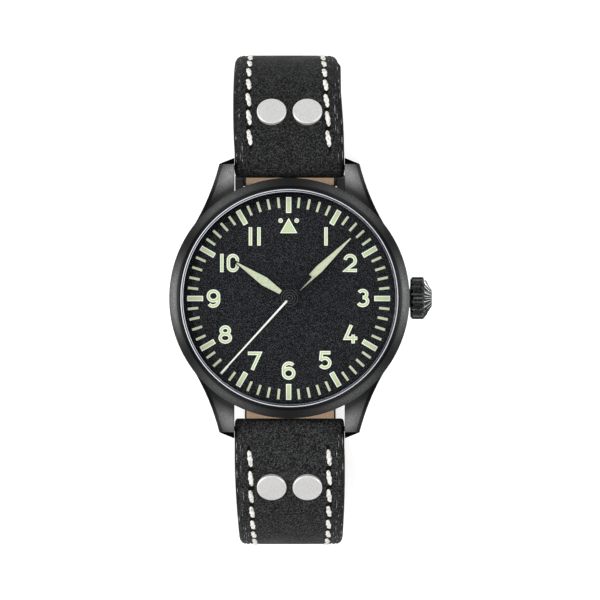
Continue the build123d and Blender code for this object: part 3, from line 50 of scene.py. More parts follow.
# One wrapped socket, so that shader maths reads as an expression
class Tap:
    def __init__(self, tree, out):
        self.tree = tree
        self.out = out

    def calc(self, operation, *values):
        node = self.tree.nodes.new("ShaderNodeMath")
        node.operation = operation
        for place, value in enumerate(values):
            if isinstance(value, Tap):
                self.tree.links.new(value.out, node.inputs[place])
            else:
                node.inputs[place].default_value = value
        return Tap(self.tree, node.outputs[0])

    def of(self, operation, *others):    # a function of this value
        return self.calc(operation, self, *others)

    def __add__(self, other):
        return self.calc("ADD", self, other)

    def __radd__(self, other):
        return self.calc("ADD", other, self)

    def __sub__(self, other):
        return self.calc("SUBTRACT", self, other)

    def __rsub__(self, other):
        return self.calc("SUBTRACT", other, self)

    def __mul__(self, other):
        return self.calc("MULTIPLY", self, other)

    def __rmul__(self, other):
        return self.calc("MULTIPLY", other, self)

    def __truediv__(self, other):
        return self.calc("DIVIDE", self, other)

    def __pow__(self, other):
        return self.calc("POWER", self, other)


socketNames = {"Ior": "IOR", "Specular Level": "Specular IOR Level"}
noiseSpan = (0.3, 0.7)    # where most values of a noise lie
grainSpan = (0.36, 0.64)    # a harder step between a metal's two tones


# A material under construction: one method makes every node that isn't plain maths
class Finish:
    def __init__(self, name):
        self.material = bpy.data.materials.new(name)
        self.material.use_nodes = True
        self.tree = self.material.node_tree
        self.shader = self.tree.nodes["Principled BSDF"]

    def make(self, kind, settings=None, sockets=None, out=0):
        node = self.tree.nodes.new("ShaderNode" + kind)
        for key, value in (settings or {}).items():
            setattr(node, key, value)
        for key, value in (sockets or {}).items():
            self.feed(node.inputs[key], value)
        return Tap(self.tree, node.outputs[out])

    def feed(self, socket, value):
        if isinstance(value, Tap):
            self.tree.links.new(value.out, socket)
        elif isinstance(value, (tuple, list)) and socket.type == "RGBA":
            socket.default_value = (*value[:3], 1)
        else:
            socket.default_value = value

    def set(self, **values):
        for key, value in values.items():
            name = "".join(" " + letter if letter.isupper() else letter for letter in key).title()
            self.feed(self.shader.inputs[socketNames.get(name, name)], value)
        return self

    def place(self):    # millimetres in the frame of the part
        at = self.make("TexCoord", out=3)
        return self.make("VectorMath", {"operation": "SCALE"}, {0: at, "Scale": 1 / mm})

    def parts(self, vector):
        return [self.make("SeparateXYZ", None, {0: vector}, out=axis) for axis in range(3)]

    def polar(self):    # x, y, z, the turn round Z and the distance from it
        x, y, z = self.parts(self.place())
        return x, y, z, y.of("ARCTAN2", x), (x * x + y * y) ** 0.5

    def noise(self, scale, detail=3.0, rough=0.5, at=None):
        sockets = {"Vector": at or self.place(), "Scale": scale, "Detail": detail, "Roughness": rough}
        return self.make("TexNoise", None, sockets)

    def pebbles(self, scale, out=0):    # distance from the middle of each cell
        sockets = {"Vector": self.place(), "Scale": scale, "Randomness": 1.0}
        return self.make("TexVoronoi", {"feature": "F1"}, sockets, out)

    def cells(self, scale):    # a random value for each cell
        return self.parts(self.pebbles(scale, out=1))[0]

    def mix(self, factor, first, second):
        return self.make("Mix", {"data_type": "RGBA"}, {0: factor, 6: first, 7: second}, out=2)

    def steps(self, value, low, high, least=0.0, most=1.0):
        sockets = {"Value": value, "From Min": low, "From Max": high, "To Min": least, "To Max": most}
        return self.make("MapRange", {"clamp": True}, sockets)

    def vary(self, mask, middle, less, more):    # roughness that follows a noise
        return self.steps(mask, *noiseSpan, middle - less, middle + more)

    def bump(self, height, strength, depth):
        return self.make("Bump", None, {"Height": height, "Strength": strength, "Distance": depth * mm})


# Metals
def turnedSteel(name, base, light, rough, fan=0.0, turns=1.6, across=9.0, streaky=0.55, grain=8.0, lines=()):
    # streaks run round Z; a painted sheen lights the face in six rays, the widest towards three and nine, and
    # darkens it between them
    steel = Finish(name)
    x, y, z, turn, radius = steel.polar()
    unrolled = steel.make("CombineXYZ", None, {0: turn * turns, 1: radius * across, 2: z * across})
    streak = steel.noise(1.0, 3.0, 0.65, unrolled)
    blend = streak * streaky + steel.noise(grain, 2.0, 0.7) * (1 - streaky)
    tone = steel.mix(steel.steps(blend, *grainSpan), base, light)
    for at, width, share, shade in lines:    # rings that catch the light or lie in shade
        ring = steel.steps((radius - at).of("ABSOLUTE"), width / 2, width, share, 0.0)
        tone = steel.mix(ring, tone, shade)
    if fan:
        side = turn.of("COSINE")
        rays = (turn * bezelSheenRays["count"]).of("COSINE")
        wide = side * side * (1 - bezelSheenRays["narrow"]) + bezelSheenRays["narrow"]
        lit = 1 - fan + wide * rays * rays * fan
        tone = steel.mix(lit, tuple(channel * bezelSheenRays["dark"] for channel in base), tone)
    return steel.set(baseColor=tone, metallic=1.0, roughness=steel.vary(streak, rough, 0.05, 0.07),
                     normal=steel.bump(blend, 0.3, 0.03))


def lugSteel(name, base, light, rough, shade):
    # blasted steel with painted shade: the lugs' tops shade off outwards, their noses and the waist by the
    # bezel are painted dark, and the half towards six a little darker
    steel = Finish(name)
    x, y, z, turn, radius = steel.polar()
    nx, ny = steel.parts(steel.make("TexCoord", out=1))[:2]
    fine = steel.noise(6.5, 2.0, 0.7)
    lit = steel.steps(x.of("ABSOLUTE"), *shade["side"], 1.0, shade["sideShare"])
    lit = lit * steel.steps(radius, *shade["waist"], shade["waistShare"], 1.0)
    lit = lit * steel.steps(radius, *shade["tip"], 1.0, shade["tipShare"])
    lit = lit * steel.steps(ny.of("ABSOLUTE"), *shade["nose"], 1.0, shade["noseShare"])
    lit = lit.of("MAXIMUM", steel.steps(nx.of("ABSOLUTE"), *shade["flank"]) * shade["flankShare"])
    lit = lit * steel.steps(y, -shade["length"], shade["length"], shade["lowShare"], 1.0)
    dark = tuple(channel * shade["dark"] for channel in base)
    tone = steel.mix(steel.steps(fine, *grainSpan), base, light)
    return steel.set(baseColor=steel.mix(lit, dark, tone), metallic=1.0,
                     specularTint=(0.0, 0.0, 0.0),    # its rims stay dark at a slant
                     roughness=steel.vary(fine, rough, 0.05, 0.05), normal=steel.bump(fine, 0.25, 0.02))


def brushedSteel(name, base, light, rough, stretch=(0.5, 9.0, 9.0)):
    steel = Finish(name)
    at = steel.make("Mapping", None, {"Vector": steel.place(), "Scale": stretch})
    streak = steel.noise(1.0, 3.0, 0.6, at)
    return steel.set(baseColor=steel.mix(steel.steps(streak, *noiseSpan), base, light), metallic=1.0,
                     roughness=steel.vary(streak, rough, 0.05, 0.08), normal=steel.bump(streak, 0.3, 0.02))


def ripplePlate(name, base, light, rough):
    # parallel waves as on a decorated bridge
    plate = Finish(name)
    wave = plate.make("TexWave", {"wave_type": "BANDS", "bands_direction": "DIAGONAL", "wave_profile": "SAW"},
                      {"Vector": plate.place(), "Scale": 0.2818, "Distortion": 0.15}, out=1)
    grain = plate.noise(6.0, 2.0)
    return plate.set(baseColor=plate.mix(wave * 0.7 + grain * 0.3, base, light), metallic=1.0,
                     roughness=rough, normal=plate.bump(wave, 0.25, 0.04))


def ridgedSteel(name, base, light, rough, cut):
    # fine ridges round X, cut into the crown's cone, with a painted highlight along each crest
    steel = Finish(name)
    x, y, z = steel.parts(steel.place())
    turn = (z - cut["middle"]).of("ARCTAN2", y)
    wave = (turn * cut["ridges"]).of("SINE")
    cone = steel.steps(x, cut["coneStart"], cut["coneStart"] + cut["coneFade"])
    fine = steel.noise(4.0, 2.0, 0.7)
    tone = steel.mix(steel.steps(fine, *grainSpan), base, light)
    return steel.set(baseColor=steel.mix(steel.steps(wave, *cut["crest"]) * cone, tone, cut["crestHighlight"]),
                     metallic=1.0, roughness=steel.vary(fine, rough, 0.05, 0.05),
                     normal=steel.bump(fine * 0.2 + wave * cone * 0.8, 0.8, 0.12))


def satinNickel(name, base, light, rough):
    nickel = Finish(name)
    speck = nickel.noise(5.0, 3.0, 0.7)
    cloud = nickel.noise(0.5, 2.0)
    return nickel.set(baseColor=nickel.mix(nickel.steps(speck, *noiseSpan), base, light), metallic=0.45,
                      roughness=nickel.vary(cloud, rough, 0.0, 0.13), normal=nickel.bump(speck, 0.15, 0.02))


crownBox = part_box("crown")
crownCut = {
    "middle": (crownBox[0].z + crownBox[1].z) / 2 / mm, "ridges": 36,
    "coneStart": crownBox[0].x / mm + 2.1, "coneFade": 0.15,
    # the crests' painted highlight: where it starts and ends, and its colour
    "crest": (0.6, 0.97), "crestHighlight": (0.74, 0.745, 0.745),
}
# the bezel's painted sheen: its rays, their narrowing and the shade between them
bezelSheenRays = {"count": 3.0, "narrow": 0.34, "dark": 0.08}    # each whole wave of light makes two rays
bezelLines = [    # radius, width, share and colour
    (18.48, 0.10, 0.6, (0.075, 0.078, 0.078)), (18.12, 0.32, 1.0, (0.022, 0.022, 0.023)),
    (17.85, 0.12, 1.0, (0.002, 0.002, 0.002)), (19.72, 0.7, 0.35, (0.016, 0.017, 0.018)),
]
# painted shade on the lugs
lugPaintedShade = {    # each stretch of shade from its start to its end, with the light left there
    "side": (10.2, 13.0), "sideShare": 0.14, "waist": (20.3, 22.0), "waistShare": 0.12,
    "tip": (23.0, 24.4), "tipShare": 0.3, "nose": (0.12, 0.4), "noseShare": 0.02,
    "flank": (0.5, 0.8), "flankShare": 0.03, "length": 18.0, "lowShare": 0.76, "dark": 0.06,
}
finishes = {
    "case": lugSteel("blastedCaseSteel", (0.18, 0.184, 0.182), (0.37, 0.374, 0.37), 0.42, lugPaintedShade),
    "bezel": turnedSteel("brushedBezelSteel", (0.040, 0.042, 0.043), (0.20, 0.203, 0.201), 0.36, fan=0.99,
                         streaky=0.3, grain=4.6, lines=bezelLines),
    "back": turnedSteel("turnedBackSteel", (0.30, 0.305, 0.305), (0.42, 0.425, 0.425), 0.33, turns=3.0),
    "crown": ridgedSteel("satinCrownSteel", (0.006, 0.0065, 0.007), (0.062, 0.064, 0.064), 0.32, crownCut),
    "pin": brushedSteel("drawnPinSteel", (0.045, 0.046, 0.047), (0.09, 0.092, 0.092), 0.34),
    "buckle": brushedSteel("brushedBuckleSteel", (0.024, 0.025, 0.026), (0.055, 0.057, 0.057), 0.36),
    "tool": turnedSteel("groundWorkSteel", (0.42, 0.42, 0.43), (0.6, 0.6, 0.61), 0.28, turns=4.0),
    "bridge": ripplePlate("wavedBridgePlate", (0.52, 0.51, 0.48), (0.72, 0.71, 0.68), 0.3),
    "gilt": turnedSteel("giltBrass", (0.56, 0.40, 0.16), (0.78, 0.60, 0.30), 0.3, turns=4.0),
    "spring": brushedSteel("bluedSpring", (0.05, 0.09, 0.26), (0.10, 0.16, 0.40), 0.28, (3.0, 3.0, 3.0)),
    "rivet": satinNickel("satinRivetNickel", (0.56, 0.555, 0.54), (0.80, 0.795, 0.78), 0.42),
}
print("metals ready")


# Paints, rubber, glass and leather
def speckledPaint(name, base, light, rough, grain, strength, shine=0.15):
    paint = Finish(name)
    speck = paint.noise(grain, 2.0, 0.8)
    return paint.set(baseColor=paint.mix(paint.steps(speck, 0.42, 0.68), base, light), metallic=0.0,
                     specularLevel=shine, roughness=paint.vary(speck, rough, 0.08, 0.08),
                     normal=paint.bump(speck, strength, 0.02))


bezelShade = {"side": (-0.83, 0.55), "fade": 0.35, "tone": (0.0004, 0.0004, 0.0005)}
sparkleGrain = {"power": 3.5, "fineScale": 1.7, "fineShare": 0.2}
# painted highlights on the rings round the hub
hubRingHighlights = {"waves": 15.3, "crest": (0.3, 0.9), "end": (1.6, 1.9), "tone": (0.05, 0.051, 0.052)}
glassEdge = {
    "rim": (17.53, 17.58), "line": 17.33, "lineFade": (0.02, 0.07), "lineShare": 0.2, "lineGain": 0.55,
    "clear": (0.7, 0.8, 1.0), "bright": (0.92, 0.95, 1.0), "rimAlpha": 0.93, "clearAlpha": 0.003,
}


def upperLeft(finish, x, y, radius, low, high):
    # 1 on the side that the bezel shades, 0 across from it
    sideX, sideY = bezelShade["side"]
    return finish.steps((x * sideX + y * sideY) / radius, low, high)


def grainedPaint(name, base, light, rough, grain, shine, shadeFrom):
    # a rough coat whose grains catch the light one by one, shaded by the bezel at the upper left
    paint = Finish(name)
    x, y, z, turn, radius = paint.polar()
    shaded = paint.steps(radius, shadeFrom, shadeFrom + bezelShade["fade"])
    shaded = shaded * upperLeft(paint, x, y, radius, -0.2, 0.5)
    coarse = paint.cells(grain)
    fine = paint.cells(grain * sparkleGrain["fineScale"])
    power, share = sparkleGrain["power"], sparkleGrain["fineShare"]
    sparkle = coarse ** power * (1 - share) + fine ** power * share
    tone = paint.mix(shaded, paint.mix(sparkle, base, light), bezelShade["tone"])
    return paint.set(baseColor=tone, metallic=0.0, specularLevel=shine,
                     roughness=paint.steps(coarse, 0.0, 1.0, rough - 0.06, rough + 0.06),
                     normal=paint.bump(coarse, 0.25, 0.02))


def handPaint(name, base, light, rough, shine):
    # black lacquer with painted highlights on fine turned rings round the hub
    paint = Finish(name)
    radius = paint.polar()[-1]
    ring = paint.steps((radius * hubRingHighlights["waves"]).of("SINE"), *hubRingHighlights["crest"])
    ring = ring * paint.steps(radius, *hubRingHighlights["end"], 1.0, 0.0)
    speck = paint.noise(5.0, 2.0)
    return paint.set(baseColor=paint.mix(ring, paint.mix(speck, base, light), hubRingHighlights["tone"]), metallic=0.0,
                     specularLevel=shine, roughness=paint.vary(speck, rough, 0.06, 0.06),
                     normal=paint.bump(speck, 0.12, 0.02))


def domedGlass(name):
    # clear but for its bevelled rim and a fine line inside it, which catch the light
    glass = Finish(name)
    x, y, z, turn, radius = glass.polar()
    line = glass.steps((radius - glassEdge["line"]).of("ABSOLUTE"), *glassEdge["lineFade"], 1.0, 0.0)
    line = line * (upperLeft(glass, x, y, radius, 0.1, 0.6) * glassEdge["lineGain"] + glassEdge["lineShare"])
    rim = glass.steps(radius, *glassEdge["rim"]).of("MAXIMUM", line)
    return glass.set(baseColor=glass.mix(rim, glassEdge["clear"], glassEdge["bright"]), metallic=0.0,
                     roughness=glass.vary(glass.noise(0.6, 2.0), 0.03, 0.0, 0.02), specularLevel=0.03,
                     ior=1.45, alpha=rim * glassEdge["rimAlpha"] + glassEdge["clearAlpha"])


hide = {
    "cloud": 0.28, "cloudShare": 0.07, "toneSpan": (0.47, 0.66), "sparklePower": 3.0, "sparkleShare": 0.7,
    "crease": {"Scale": 0.35, "Distortion": 9.0, "Detail": 3.0, "Detail Scale": 1.6},
    "edgeSpan": (0.25, 0.95), "edgeTone": 0.5, "lightRun": 12.0, "depth": 0.09,
    "pebbleDepth": 0.35, "fineDepth": 0.55, "creaseDepth": 0.1,
}


def leatherFinish(name, base, light, rough, pebble, strength, shine=0.07, dusk=0.75, grain=4.6, sparkle=0.0,
                  lowHalfLight=1.0):
    # painted shade darkens the rolled edges, whose faces look sideways; painted light brightens the half
    # towards six
    leather = Finish(name)
    pebbles = leather.pebbles(pebble)
    fine = leather.noise(grain, 3.0, 0.75)
    cloud = leather.noise(hide["cloud"], 3.0)
    crease = {"Vector": leather.place(), **hide["crease"]}
    crease = leather.make("TexWave", {"bands_direction": "X"}, crease, out=1)
    tone = fine * (1 - hide["cloudShare"]) + cloud * hide["cloudShare"]
    tone = leather.steps(tone, *hide["toneSpan"])
    if sparkle:    # single grains that catch the light
        grains = leather.cells(sparkle) ** hide["sparklePower"]
        tone = tone * (1 - hide["sparkleShare"]) + grains * hide["sparkleShare"]
    y = leather.parts(leather.place())[1]
    tone = tone * leather.steps(y, -hide["lightRun"], hide["lightRun"], lowHalfLight, 1.0)
    facing = leather.parts(leather.make("TexCoord", out=1))[0]
    edge = leather.steps(facing.of("ABSOLUTE"), *hide["edgeSpan"], 0.0, dusk)
    dark = tuple(channel * hide["edgeTone"] for channel in base)
    relief = pebbles * hide["pebbleDepth"] + fine * hide["fineDepth"] + crease * hide["creaseDepth"]
    return leather.set(baseColor=leather.mix(edge, leather.mix(tone, base, light), dark), metallic=0.0,
                       specularLevel=shine, roughness=leather.vary(cloud, rough, 0.08, 0.08),
                       normal=leather.bump(relief, strength, hide["depth"]))


finishes.update({
    "dial": grainedPaint("grainedDialBlack", (0.0016, 0.0021, 0.0025), (0.048, 0.051, 0.054), 0.75, 7.0, 0.05,
                         shadeFrom=15.9),
    "flange": grainedPaint("matteFlangeBlack", (0.003, 0.003, 0.0032), (0.03, 0.03, 0.031), 0.6, 6.5, 0.0,
                           shadeFrom=16.1),
    "handBlack": handPaint("satinHandBlack", (0.001, 0.001, 0.0012), (0.003, 0.003, 0.0033), 0.42, 0.05),
    "rubber": speckledPaint("sealRubber", (0.012, 0.012, 0.012), (0.022, 0.022, 0.022), 0.75, 5.0, 0.2),
    "spacer": speckledPaint("mouldedSpacer", (0.20, 0.20, 0.20), (0.27, 0.27, 0.27), 0.6, 4.0, 0.2),
    "lume": speckledPaint("greenLume", (0.46, 0.57, 0.33), (0.56, 0.66, 0.42), 0.7, 7.0, 0.25),
    "handLume": speckledPaint("handLume", (0.44, 0.50, 0.34), (0.58, 0.63, 0.46), 0.7, 3.0, 0.3),
    "lumeEdge": speckledPaint("creamLumeEdge", (0.88, 0.91, 0.78), (0.96, 0.98, 0.88), 0.7, 7.0, 0.15),
    "lumeTick": speckledPaint("trackLume", (0.50, 0.58, 0.40), (0.62, 0.68, 0.50), 0.7, 7.0, 0.2),
    "needle": speckledPaint("whiteNeedle", (0.72, 0.73, 0.66), (0.84, 0.85, 0.80), 0.55, 5.0, 0.1),
    "ruby": speckledPaint("bearingRuby", (0.40, 0.012, 0.05), (0.52, 0.03, 0.09), 0.2, 3.0, 0.05, 0.5),
    "crystal": domedGlass("domedCrystal"),
    # the strap's leather: painted shade on its rolled edges and painted light on the half towards six
    "leather": leatherFinish("grainedBlackLeather", (0.003, 0.0032, 0.0035), (0.086, 0.087, 0.089), 0.6, 1.9,
                             0.6, shine=0.02, sparkle=7.0, lowHalfLight=1.25),
    # dark lenses where stitches dive: painted shade of the stitch holes
    "hole": leatherFinish("stitchHoleShade", (0.003, 0.003, 0.003), (0.008, 0.008, 0.008), 0.7, 1.2, 0.2,
                          shine=0.05),
    "tan": leatherFinish("tanLining", (0.30, 0.205, 0.135), (0.44, 0.32, 0.22), 0.62, 1.6, 0.35, dusk=0.3),
    "thread": leatherFinish("waxedThread", (0.92, 0.90, 0.85), (0.26, 0.24, 0.21), 0.6, 4.0, 0.5, dusk=0.0,
                            grain=3.6, sparkle=4.0),
    # pale dashes along the edges: painted highlights
    "wear": leatherFinish("paintedCreaseGlint", (0.10, 0.10, 0.10), (0.60, 0.60, 0.59), 0.6, 4.0, 0.2, dusk=0.0),
})
print("paints, glass and leather ready")

dressing = {
    "case": ["case_middle"],
    "bezel": ["bezel"],
    "back": ["case_back"],
    "crown": ["crown", "crown_tube"],
    "pin": ["spring_bar_12", "spring_bar_6", "winding_stem", "buckle_bar"],
    "buckle": ["buckle_frame", "buckle_tang"],
    "rivet": ["rivets_12", "rivets_6"],
    "crystal": ["crystal"],
    "rubber": ["crystal_seal", "back_seal", "crown_seal"],
    "flange": ["flange"],
    "dial": ["dial"],
    "handBlack": ["hour_hand", "minute_hand", "seconds_hand"],
    "handLume": ["hour_lume", "minute_lume"],
    "needle": ["seconds_needle"],
    "spacer": ["movement_ring"],
    "bridge": ["main_plate", "train_bridge", "balance_cock"],
    "gilt": ["barrel", "center_wheel", "third_wheel", "seconds_wheel", "hour_wheel", "minute_wheel",
             "balance_wheel", "cannon_pinion"],
    "tool": ["escape_wheel", "pallet_fork", "ratchet_wheel", "crown_wheel", "crown_wheel_core",
             "winding_pinion", "clutch_wheel", "rotor_post", "rotor"],
    "spring": ["mainspring", "hairspring"],
    "ruby": ["plate_bearings", "bridge_bearings"],
}
for key, nodes in dressing.items():
    for node in nodes:
        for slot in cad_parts[node].material_slots:
            slot.material = finishes[key].material


# Making pieces
def addPiece(name, mesh, finish, body):
    piece = bpy.data.objects.new(name, mesh)
    scene.collection.objects.link(piece)
    mesh.materials.append(finishes[finish].material)
    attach(piece, body)
    return piece


def meshFrom(name, points, faces, smooth=False):
    mesh = bpy.data.meshes.new(name)
    mesh.from_pydata([tuple(channel * mm for channel in point) for point in points], [], faces)
    work = bmesh.new()
    work.from_mesh(mesh)
    bmesh.ops.recalc_face_normals(work, faces=work.faces)
    for face in work.faces:
        face.smooth = smooth
    work.to_mesh(mesh)
    work.free()
    return mesh


ink = {"layers": 4, "layerStep": 0.003, "mitre": 0.45}    # strokes that cross lie on different layers


# Flat shapes raised off the dial, gathered into one mesh
class Print:
    def __init__(self, low, high):
        self.low = low
        self.high = high
        self.points = []
        self.faces = []
        self.lift = 0

    def shape(self, outline):    # a convex outline, filled
        first = len(self.points)
        count = len(outline)
        self.points += [(x, y, self.low) for x, y in outline] + [(x, y, self.high) for x, y in outline]
        self.faces.append([first + count + step for step in range(count)])
        self.faces.append([first + step for step in reversed(range(count))])
        for step in range(count):
            here, there = first + step, first + (step + 1) % count
            self.faces.append([here, there, there + count, here + count])

    def ribbon(self, line, width, closed=False, grow=0.0):    # a stroke along a line
        first = len(self.points)
        count = len(line)
        self.lift = (self.lift + 1) % ink["layers"]
        high = self.high + self.lift * ink["layerStep"]
        for step, (x, y) in enumerate(line):
            before = line[(step - 1) % count] if closed or step else line[step]
            after = line[(step + 1) % count] if closed or step < count - 1 else line[step]
            into = Vector((x - before[0], y - before[1]))
            out = Vector((after[0] - x, after[1] - y))
            into = into.normalized() if into.length else out.normalized()
            out = out.normalized() if out.length else into
            along = (into + out).normalized()
            reach = width / 2 / max(along.dot(into), ink["mitre"])
            slide = 0.0 if closed else {0: -grow, count - 1: grow}.get(step, 0.0)
            x += along.x * slide
            y += along.y * slide
            left = (x - along.y * reach, y + along.x * reach)
            right = (x + along.y * reach, y - along.x * reach)
            self.points += [(*left, self.low), (*right, self.low), (*right, high), (*left, high)]
        for step in range(count if closed else count - 1):
            here, there = first + 4 * step, first + 4 * ((step + 1) % count)
            self.faces += [[here + side, here + (side + 1) % 4, there + (side + 1) % 4, there + side]
                           for side in range(4)]
        if not closed:
            last = first + 4 * (count - 1)
            self.faces += [[first + 3, first + 2, first + 1, first], [last, last + 1, last + 2, last + 3]]

    def finish(self, name, finish, slotName="lume"):
        return addPiece(name, meshFrom(name, self.points, self.faces), finish, "case")


# Dial: track, numerals and the triangle
dial = {
    "top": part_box("dial")[1].z / mm,
    "layer": 0.02,
    "trackRadius": 16.54,
    "offset": (-0.12, -0.06),    # the print sits a little off the middle, as in the photo
    "hourTick": (2.58, 0.85),
    "minuteTick": (1.7, 0.40),
    "edge": 0.13,
    "stroke": 0.32,
    "edgeStroke": 0.56,
    "fillGrow": -0.09,
    "figure": (1.66, 2.42),
    "triangle": (13.07, 10.6, 1.4),
    "triangleFill": (12.81, 10.7, 1.2),
    "dots": (1.31, 12.65, 0.375),
    "dotFill": 0.295,
}


def onClock(turn, reach, side):
    angle = radians(turn)
    offX, offY = dial["offset"]
    return offX + reach * sin(angle) + side * cos(angle), offY + reach * cos(angle) - side * sin(angle)


def tickShape(turn, outer, length, width, shrink=0.0):
    half = width / 2 - shrink
    return [onClock(turn, outer - shrink, -half), onClock(turn, outer - shrink, half),
            onClock(turn, outer - length + shrink, half), onClock(turn, outer - length + shrink, -half)]


def arc(cx, cy, rx, ry, start, end, steps=14):
    return [(cx + rx * cos(radians(start + (end - start) * step / steps)),
             cy + ry * sin(radians(start + (end - start) * step / steps))) for step in range(steps + 1)]


def oval(cx, cy, rx, ry, steps):
    return arc(cx, cy, rx, ry, 0, 360, steps)[:-1]


def digitLines(digit):
    # centre lines of a figure in its box, each with whether it closes
    w, h = dial["figure"]
    over = dial["edgeStroke"] / 2    # straight ends stand as far out as the bows do
    if digit == "0":
        narrow = w / 2 - 0.1
        upper = arc(w / 2, h - narrow, narrow, narrow, 0, 180)
        return [(upper + arc(w / 2, narrow, narrow, narrow, 180, 360), True)]
    if digit == "1":
        return [([(w / 2, -over), (w / 2, h + over)], False)]
    if digit == "2":
        return [(arc(w / 2, h - w / 2, w / 2, w / 2, 170, -34) + [(0.12, 0), (w + over, 0)], False)]
    if digit == "3":
        upper = arc(w / 2 - 0.04, h - 0.58, 0.66, 0.58, 152, -90, 18)
        lower = arc(w / 2 - 0.04, 0.67, 0.80, 0.67, 90, -152, 20)
        return [(upper, False), (lower, False)]
    if digit == "4":
        return [([(w * 0.58, h + over), (0.02, 0.56), (w + over, 0.56)], False),
                ([(w * 0.76, 1.15), (w * 0.76, -over)], False)]
    if digit == "5":
        return [([(w + 0.05, h), (0.26, h), (0.14, 1.16)], False),
                (arc(w / 2 - 0.04, 0.76, 0.82, 0.76, 150, -150, 22), False)]
    if digit == "6":
        stem = arc(w / 2 + 0.04, h - 0.90, w / 2 + 0.04, 0.90, 40, 180, 18)
        return [(oval(w / 2, 0.78, w / 2, 0.78, 30), True), (stem + [(0.0, 0.78)], False)]
    if digit == "7":
        return [([(-over, h), (w, h), (0.42, -over)], False)]
    if digit == "8":
        return [(oval(w / 2, h - 0.57, 0.66, 0.57, 28), True), (oval(w / 2, 0.65, w / 2, 0.65, 28), True)]
    return [([(w - x, h - y) for x, y in line], closed) for line, closed in digitLines("6")]    # a nine


numerals = {    # middle of each hour's figures
    "1": (5.97, 10.07), "2": (9.91, 5.73), "3": (12.0, 0.02), "4": (9.97, -5.90), "5": (5.81, -10.12),
    "6": (-0.12, -11.83), "7": (-5.66, -10.22), "8": (-10.47, -5.94), "9": (-12.4, -0.08),
    "10": (-9.78, 5.73), "11": (-5.66, 10.07),
}
figureShifts = {"10": (-1.24, 0.56), "11": (-0.695, 0.695)}    # of each figure from that middle


def drawNumeral(sheet, text, stroke, grow):
    middleX, middleY = numerals[text]
    w, h = dial["figure"]
    for digit, shift in zip(text, figureShifts.get(text, (0.0,))):
        for line, closed in digitLines(digit):
            moved = [(middleX + shift + x - w / 2, middleY + y - h / 2) for x, y in line]
            sheet.ribbon(moved, stroke, closed, grow)


base = dial["top"]
edges = Print(base - dial["layer"], base + dial["layer"])
fills = Print(base, base + 2 * dial["layer"])
track = Print(base - dial["layer"], base + dial["layer"])
for minute in range(60):
    hourMark = minute % 5 == 0
    length, width = dial["hourTick"] if hourMark else dial["minuteTick"]
    if hourMark:
        edges.shape(tickShape(minute * 6, dial["trackRadius"], length, width))
        fills.shape(tickShape(minute * 6, dial["trackRadius"], length, width, dial["edge"]))
    else:
        track.shape(tickShape(minute * 6, dial["trackRadius"], length, width))
offX = dial["offset"][0]
dotX, dotY, dotRadius = dial["dots"]
for sheet, triangle, radius in ((edges, "triangle", dotRadius), (fills, "triangleFill", dial["dotFill"])):
    apex, foot, half = dial[triangle]
    sheet.shape([(offX, apex), (offX + half, foot), (offX - half, foot)])
    for side in (-1, 1):
        sheet.shape(oval(offX + side * dotX, dotY, radius, radius, 24))
for text in numerals:
    drawNumeral(edges, text, dial["edgeStroke"], 0.0)
    drawNumeral(fills, text, dial["stroke"], dial["fillGrow"])
edges.finish("dialLumeEdges", "lumeEdge")
fills.finish("dialLumeFills", "lume")
track.finish("minuteTrack", "lumeTick")
print("dial printed")


# Strap: the path of its solids, with rolled edges, grooves and a slight lean
strap = {
    "pitch": 7.0, "upperRadius": 21.2, "endWidth": 18.05, "fullWidth": 18.1, "buckleWidth": 16.0,
    "endThickness": 3.4, "padThickness": 4.2, "swellRun": 5.0, "padRun": 15.0,
    "taperStart": 27.0, "taperEnd": 36.5, "lining": 0.9, "step": 0.5, "faceSteps": 30,
    "edgeRadius": 1.25, "crown": 0.24, "flatShare": 0.16, "edgeShare": 0.75,
    "stitchInset": 2.55, "grooveDepth": 0.16, "grooveHalf": 0.55,
    "creases": (0.95, 1.65), "creaseDepth": 0.13, "creaseHalf": 0.2,
    "rivetSide": 2.87, "rivetPress": 2.75, "pressDepth": 0.17, "pressFade": 0.5,
    "earlyTaper": 0.7, "earlyStart": 6.0, "earlyRun": 21.0,
    "bowStart": 13.0, "bowRise": 15.0, "bowEnd": 46.0, "bowFall": 12.0,
    "cornerRun": -0.6, "lugRun": 2.0, "bulge": 0.06, "bulgeRun": 4.0, "underInset": 0.12,
    "buckleFill": 0.08, "fillStart": 7.0, "fillRun": 2.0, "tipRun": 8.0, "tipShare": 0.3125,
}
capAngles = (2, 12, 24, 38, 52, 66, 80)    # sections round an end
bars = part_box("spring_bar_12")
pivotY = (bars[0].y + bars[1].y) / 2 / mm
pivotZ = (bars[0].z + bars[1].z) / 2 / mm
upperRun = strap["upperRadius"] * radians(90 - strap["pitch"])
upperY = pivotY + strap["upperRadius"] * (1 - sin(radians(strap["pitch"])))
upperZ = pivotZ - strap["upperRadius"] * cos(radians(strap["pitch"]))
tailRadius = 20.0
halves = {
    "12": {"side": 1, "sideRun": 0.0, "lowerRadius": 14.0, "flatRun": 5.3, "thin": 2.6, "lean": -0.56,
           "leanRun": 48.0, "rivetRun": 8.7, "bow": -0.1, "corner": 0.7, "stitchEnd": 9.0},
    "6": {"side": -1, "sideRun": 5.5, "lowerRadius": tailRadius, "thin": 2.2, "lean": 0.22,
          "flatRun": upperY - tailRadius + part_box("strap_6")[1].y / mm,
          "leanRun": 56.0, "rivetRun": 9.2, "bow": 0.65, "corner": 0.5, "stitchEnd": 9.5},
}


def smoothStep(value):
    value = min(max(value, 0), 1)
    return value * value * (3 - 2 * value)


